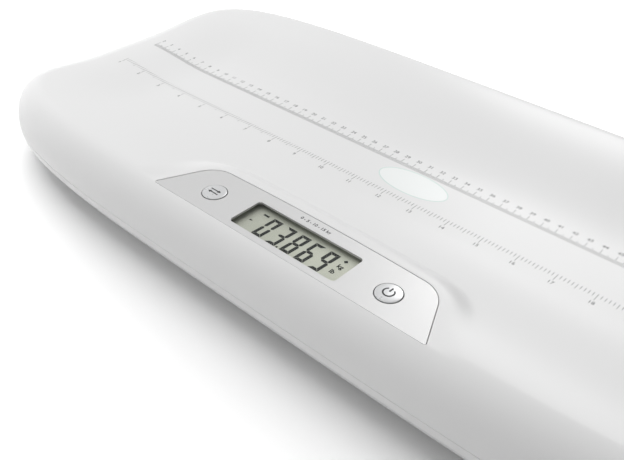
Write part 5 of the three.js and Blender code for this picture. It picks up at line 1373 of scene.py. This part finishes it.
# Stage
class SCALE_OT_stage(PieceOperator):
    """Set up the floor, the soft light and the camera"""
    bl_idname = "scale.stage"
    bl_label = "Stage"

    def make(self, given):
        self.camera()
        self.floor(given.stage.floor_colour)
        self.lamp("lamp_above", given.stage.lamp_power, *LAMP_ABOVE).visible_glossy = False
        self.lamp("lamp_sheen", given.stage.sheen_power, *LAMP_SHEEN).visible_diffuse = False
        self.lamp("lamp_front", given.stage.fill_power, *LAMP_FRONT).visible_glossy = False
        self.room(given.stage.room_light)
        bpy.context.scene.view_settings.view_transform = "Standard"

    def camera(self):
        turn, fall, roll = (math.radians(angle) for angle in (CAMERA_TURN, CAMERA_FALL, CAMERA_ROLL))
        ahead = Vector((-math.sin(turn) * math.cos(fall), math.cos(turn) * math.cos(fall), -math.sin(fall)))
        level = Vector((math.cos(turn), math.sin(turn), 0))
        upright = level.cross(ahead)
        right = math.cos(roll) * level + math.sin(roll) * upright
        up = -math.sin(roll) * level + math.cos(roll) * upright
        data = bpy.data.cameras.new("camera")
        data.lens, data.sensor_width, data.sensor_fit = CAMERA_LENS, SENSOR_WIDTH, "HORIZONTAL"
        data.clip_start, data.clip_end = 0.01, 50
        camera = linked("camera", data)
        turned_to = Matrix((right, up, -ahead)).transposed().to_4x4()
        camera.matrix_world = Matrix.Translation(Vector(CAMERA_PLACE) * MM) @ turned_to
        bpy.context.scene.camera = camera

    def floor(self, colour):
        corners = [(x * FLOOR_REACH, y * FLOOR_REACH, 0) for x, y in ((-1, -1), (1, -1), (1, 1), (-1, 1))]
        floor = piece("floor", corners, [(0, 1, 2, 3)])
        material = finish("floor white", colour, 0.8, mottle=0.004, mottle_scale=3, grain=(300.0, 0.02), specular=0.1)
        self.whiten_far(material.node_tree)
        floor.data.materials.append(material)
        floor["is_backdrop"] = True

    def whiten_far(self, tree):
        """The floor goes over into the white background away from the scale and its shadow."""
        squeezed = add_node(tree, "ShaderNodeMapping", {
            "Vector": add_node(tree, "ShaderNodeTexCoord")["Object"],
            "Scale": (2 / (LENGTH * MM), 2 / (DEPTH * MM), 1)})
        length = add_node(tree, "ShaderNodeVectorMath", {0: squeezed["Vector"]}, operation="LENGTH")
        far = add_node(tree, "ShaderNodeMapRange", {
            "Value": length["Value"], "From Min": WHITE_FROM, "From Max": WHITE_TO}, interpolation_type="SMOOTHSTEP")
        seen = add_node(tree, "ShaderNodeLightPath")["Is Camera Ray"]
        fill(tree, tree.nodes["Principled BSDF"], {
            "Emission Color": (1, 1, 1, 1), "Emission Strength": computed(tree, "MULTIPLY", far["Result"], seen)})

    def lamp(self, name, power, place, size):
        data = bpy.data.lights.new(name, "AREA")
        data.energy, data.shape, data.size, data.size_y = power, "RECTANGLE", size, size
        lamp = linked(name, data)
        lamp.location = place
        lamp.rotation_euler = (-Vector(place)).to_track_quat("-Z", "Y").to_euler()
        return lamp

    def room(self, strength):
        """Plain white for the camera and in reflections, and a softer light on the object."""
        world = bpy.data.worlds.new("room")
        world.use_nodes = True
        bpy.context.scene.world = world
        tree = world.node_tree
        path = add_node(tree, "ShaderNodeLightPath")
        seen = computed(tree, "ADD", path["Is Camera Ray"], path["Is Glossy Ray"])
        seen = computed(tree, "MINIMUM", computed(tree, "ADD", seen, path["Is Transmission Ray"]), 1.0)
        fill(tree, tree.nodes["Background"], {
            "Color": (1, 1, 1, 1), "Strength": computed(tree, "MULTIPLY_ADD", seen, 1 - strength, strength)})


class SCALE_PT_panel(bpy.types.Panel):
    """Lists the pieces of the scale and their settings"""
    bl_label = "Baby weighing scale"
    bl_idname = "SCALE_PT_panel"
    bl_space_type = "VIEW_3D"
    bl_region_type = "UI"
    bl_category = "Scale"

    def draw(self, context):
        given = context.scene.scale_settings
        for group in (given.body, given.panel, given.prints, given.stage):
            box = self.layout.box()
            for name in group.bl_rna.properties.keys():
                if name not in ("rna_type", "name"):
                    box.prop(group, name)
        for operator in OPERATORS:
            self.layout.operator(operator.bl_idname)


class ScaleSettings(bpy.types.PropertyGroup):
    body: bpy.props.PointerProperty(type=BodySettings, name="Body", description="Shells and feet")
    panel: bpy.props.PointerProperty(type=PanelSettings, name="Panel", description="Panel, keys and display")
    prints: bpy.props.PointerProperty(type=PrintSettings, name="Prints", description="Rulers and oval")
    stage: bpy.props.PointerProperty(type=StageSettings, name="Stage", description="Floor and light")


OPERATORS = (SCALE_OT_stage, SCALE_OT_top_shell, SCALE_OT_bottom_cover, SCALE_OT_control_panel, SCALE_OT_keys,
             SCALE_OT_display, SCALE_OT_rulers, SCALE_OT_feet, SCALE_OT_screws, SCALE_OT_battery_door,
             SCALE_OT_batteries, SCALE_OT_contacts, SCALE_OT_leads, SCALE_OT_inner_finishes)
CLASSES = (BodySettings, PanelSettings, PrintSettings, StageSettings, ScaleSettings, *OPERATORS, SCALE_PT_panel)


def register():
    for kind in CLASSES:
        bpy.utils.register_class(kind)
    bpy.types.Scene.scale_settings = bpy.props.PointerProperty(type=ScaleSettings)


def unregister():
    del bpy.types.Scene.scale_settings
    for kind in reversed(CLASSES):
        bpy.utils.unregister_class(kind)


def main():
    register()
    for operator in OPERATORS:
        group, name = operator.bl_idname.split(".")
        getattr(getattr(bpy.ops, group), name)()
    boxes = {"cad": CAD_BOX, "visual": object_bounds()}
    {name: [list(corner) for corner in box] for name, box in boxes.items()}


if __name__ == "__main__":
    main()
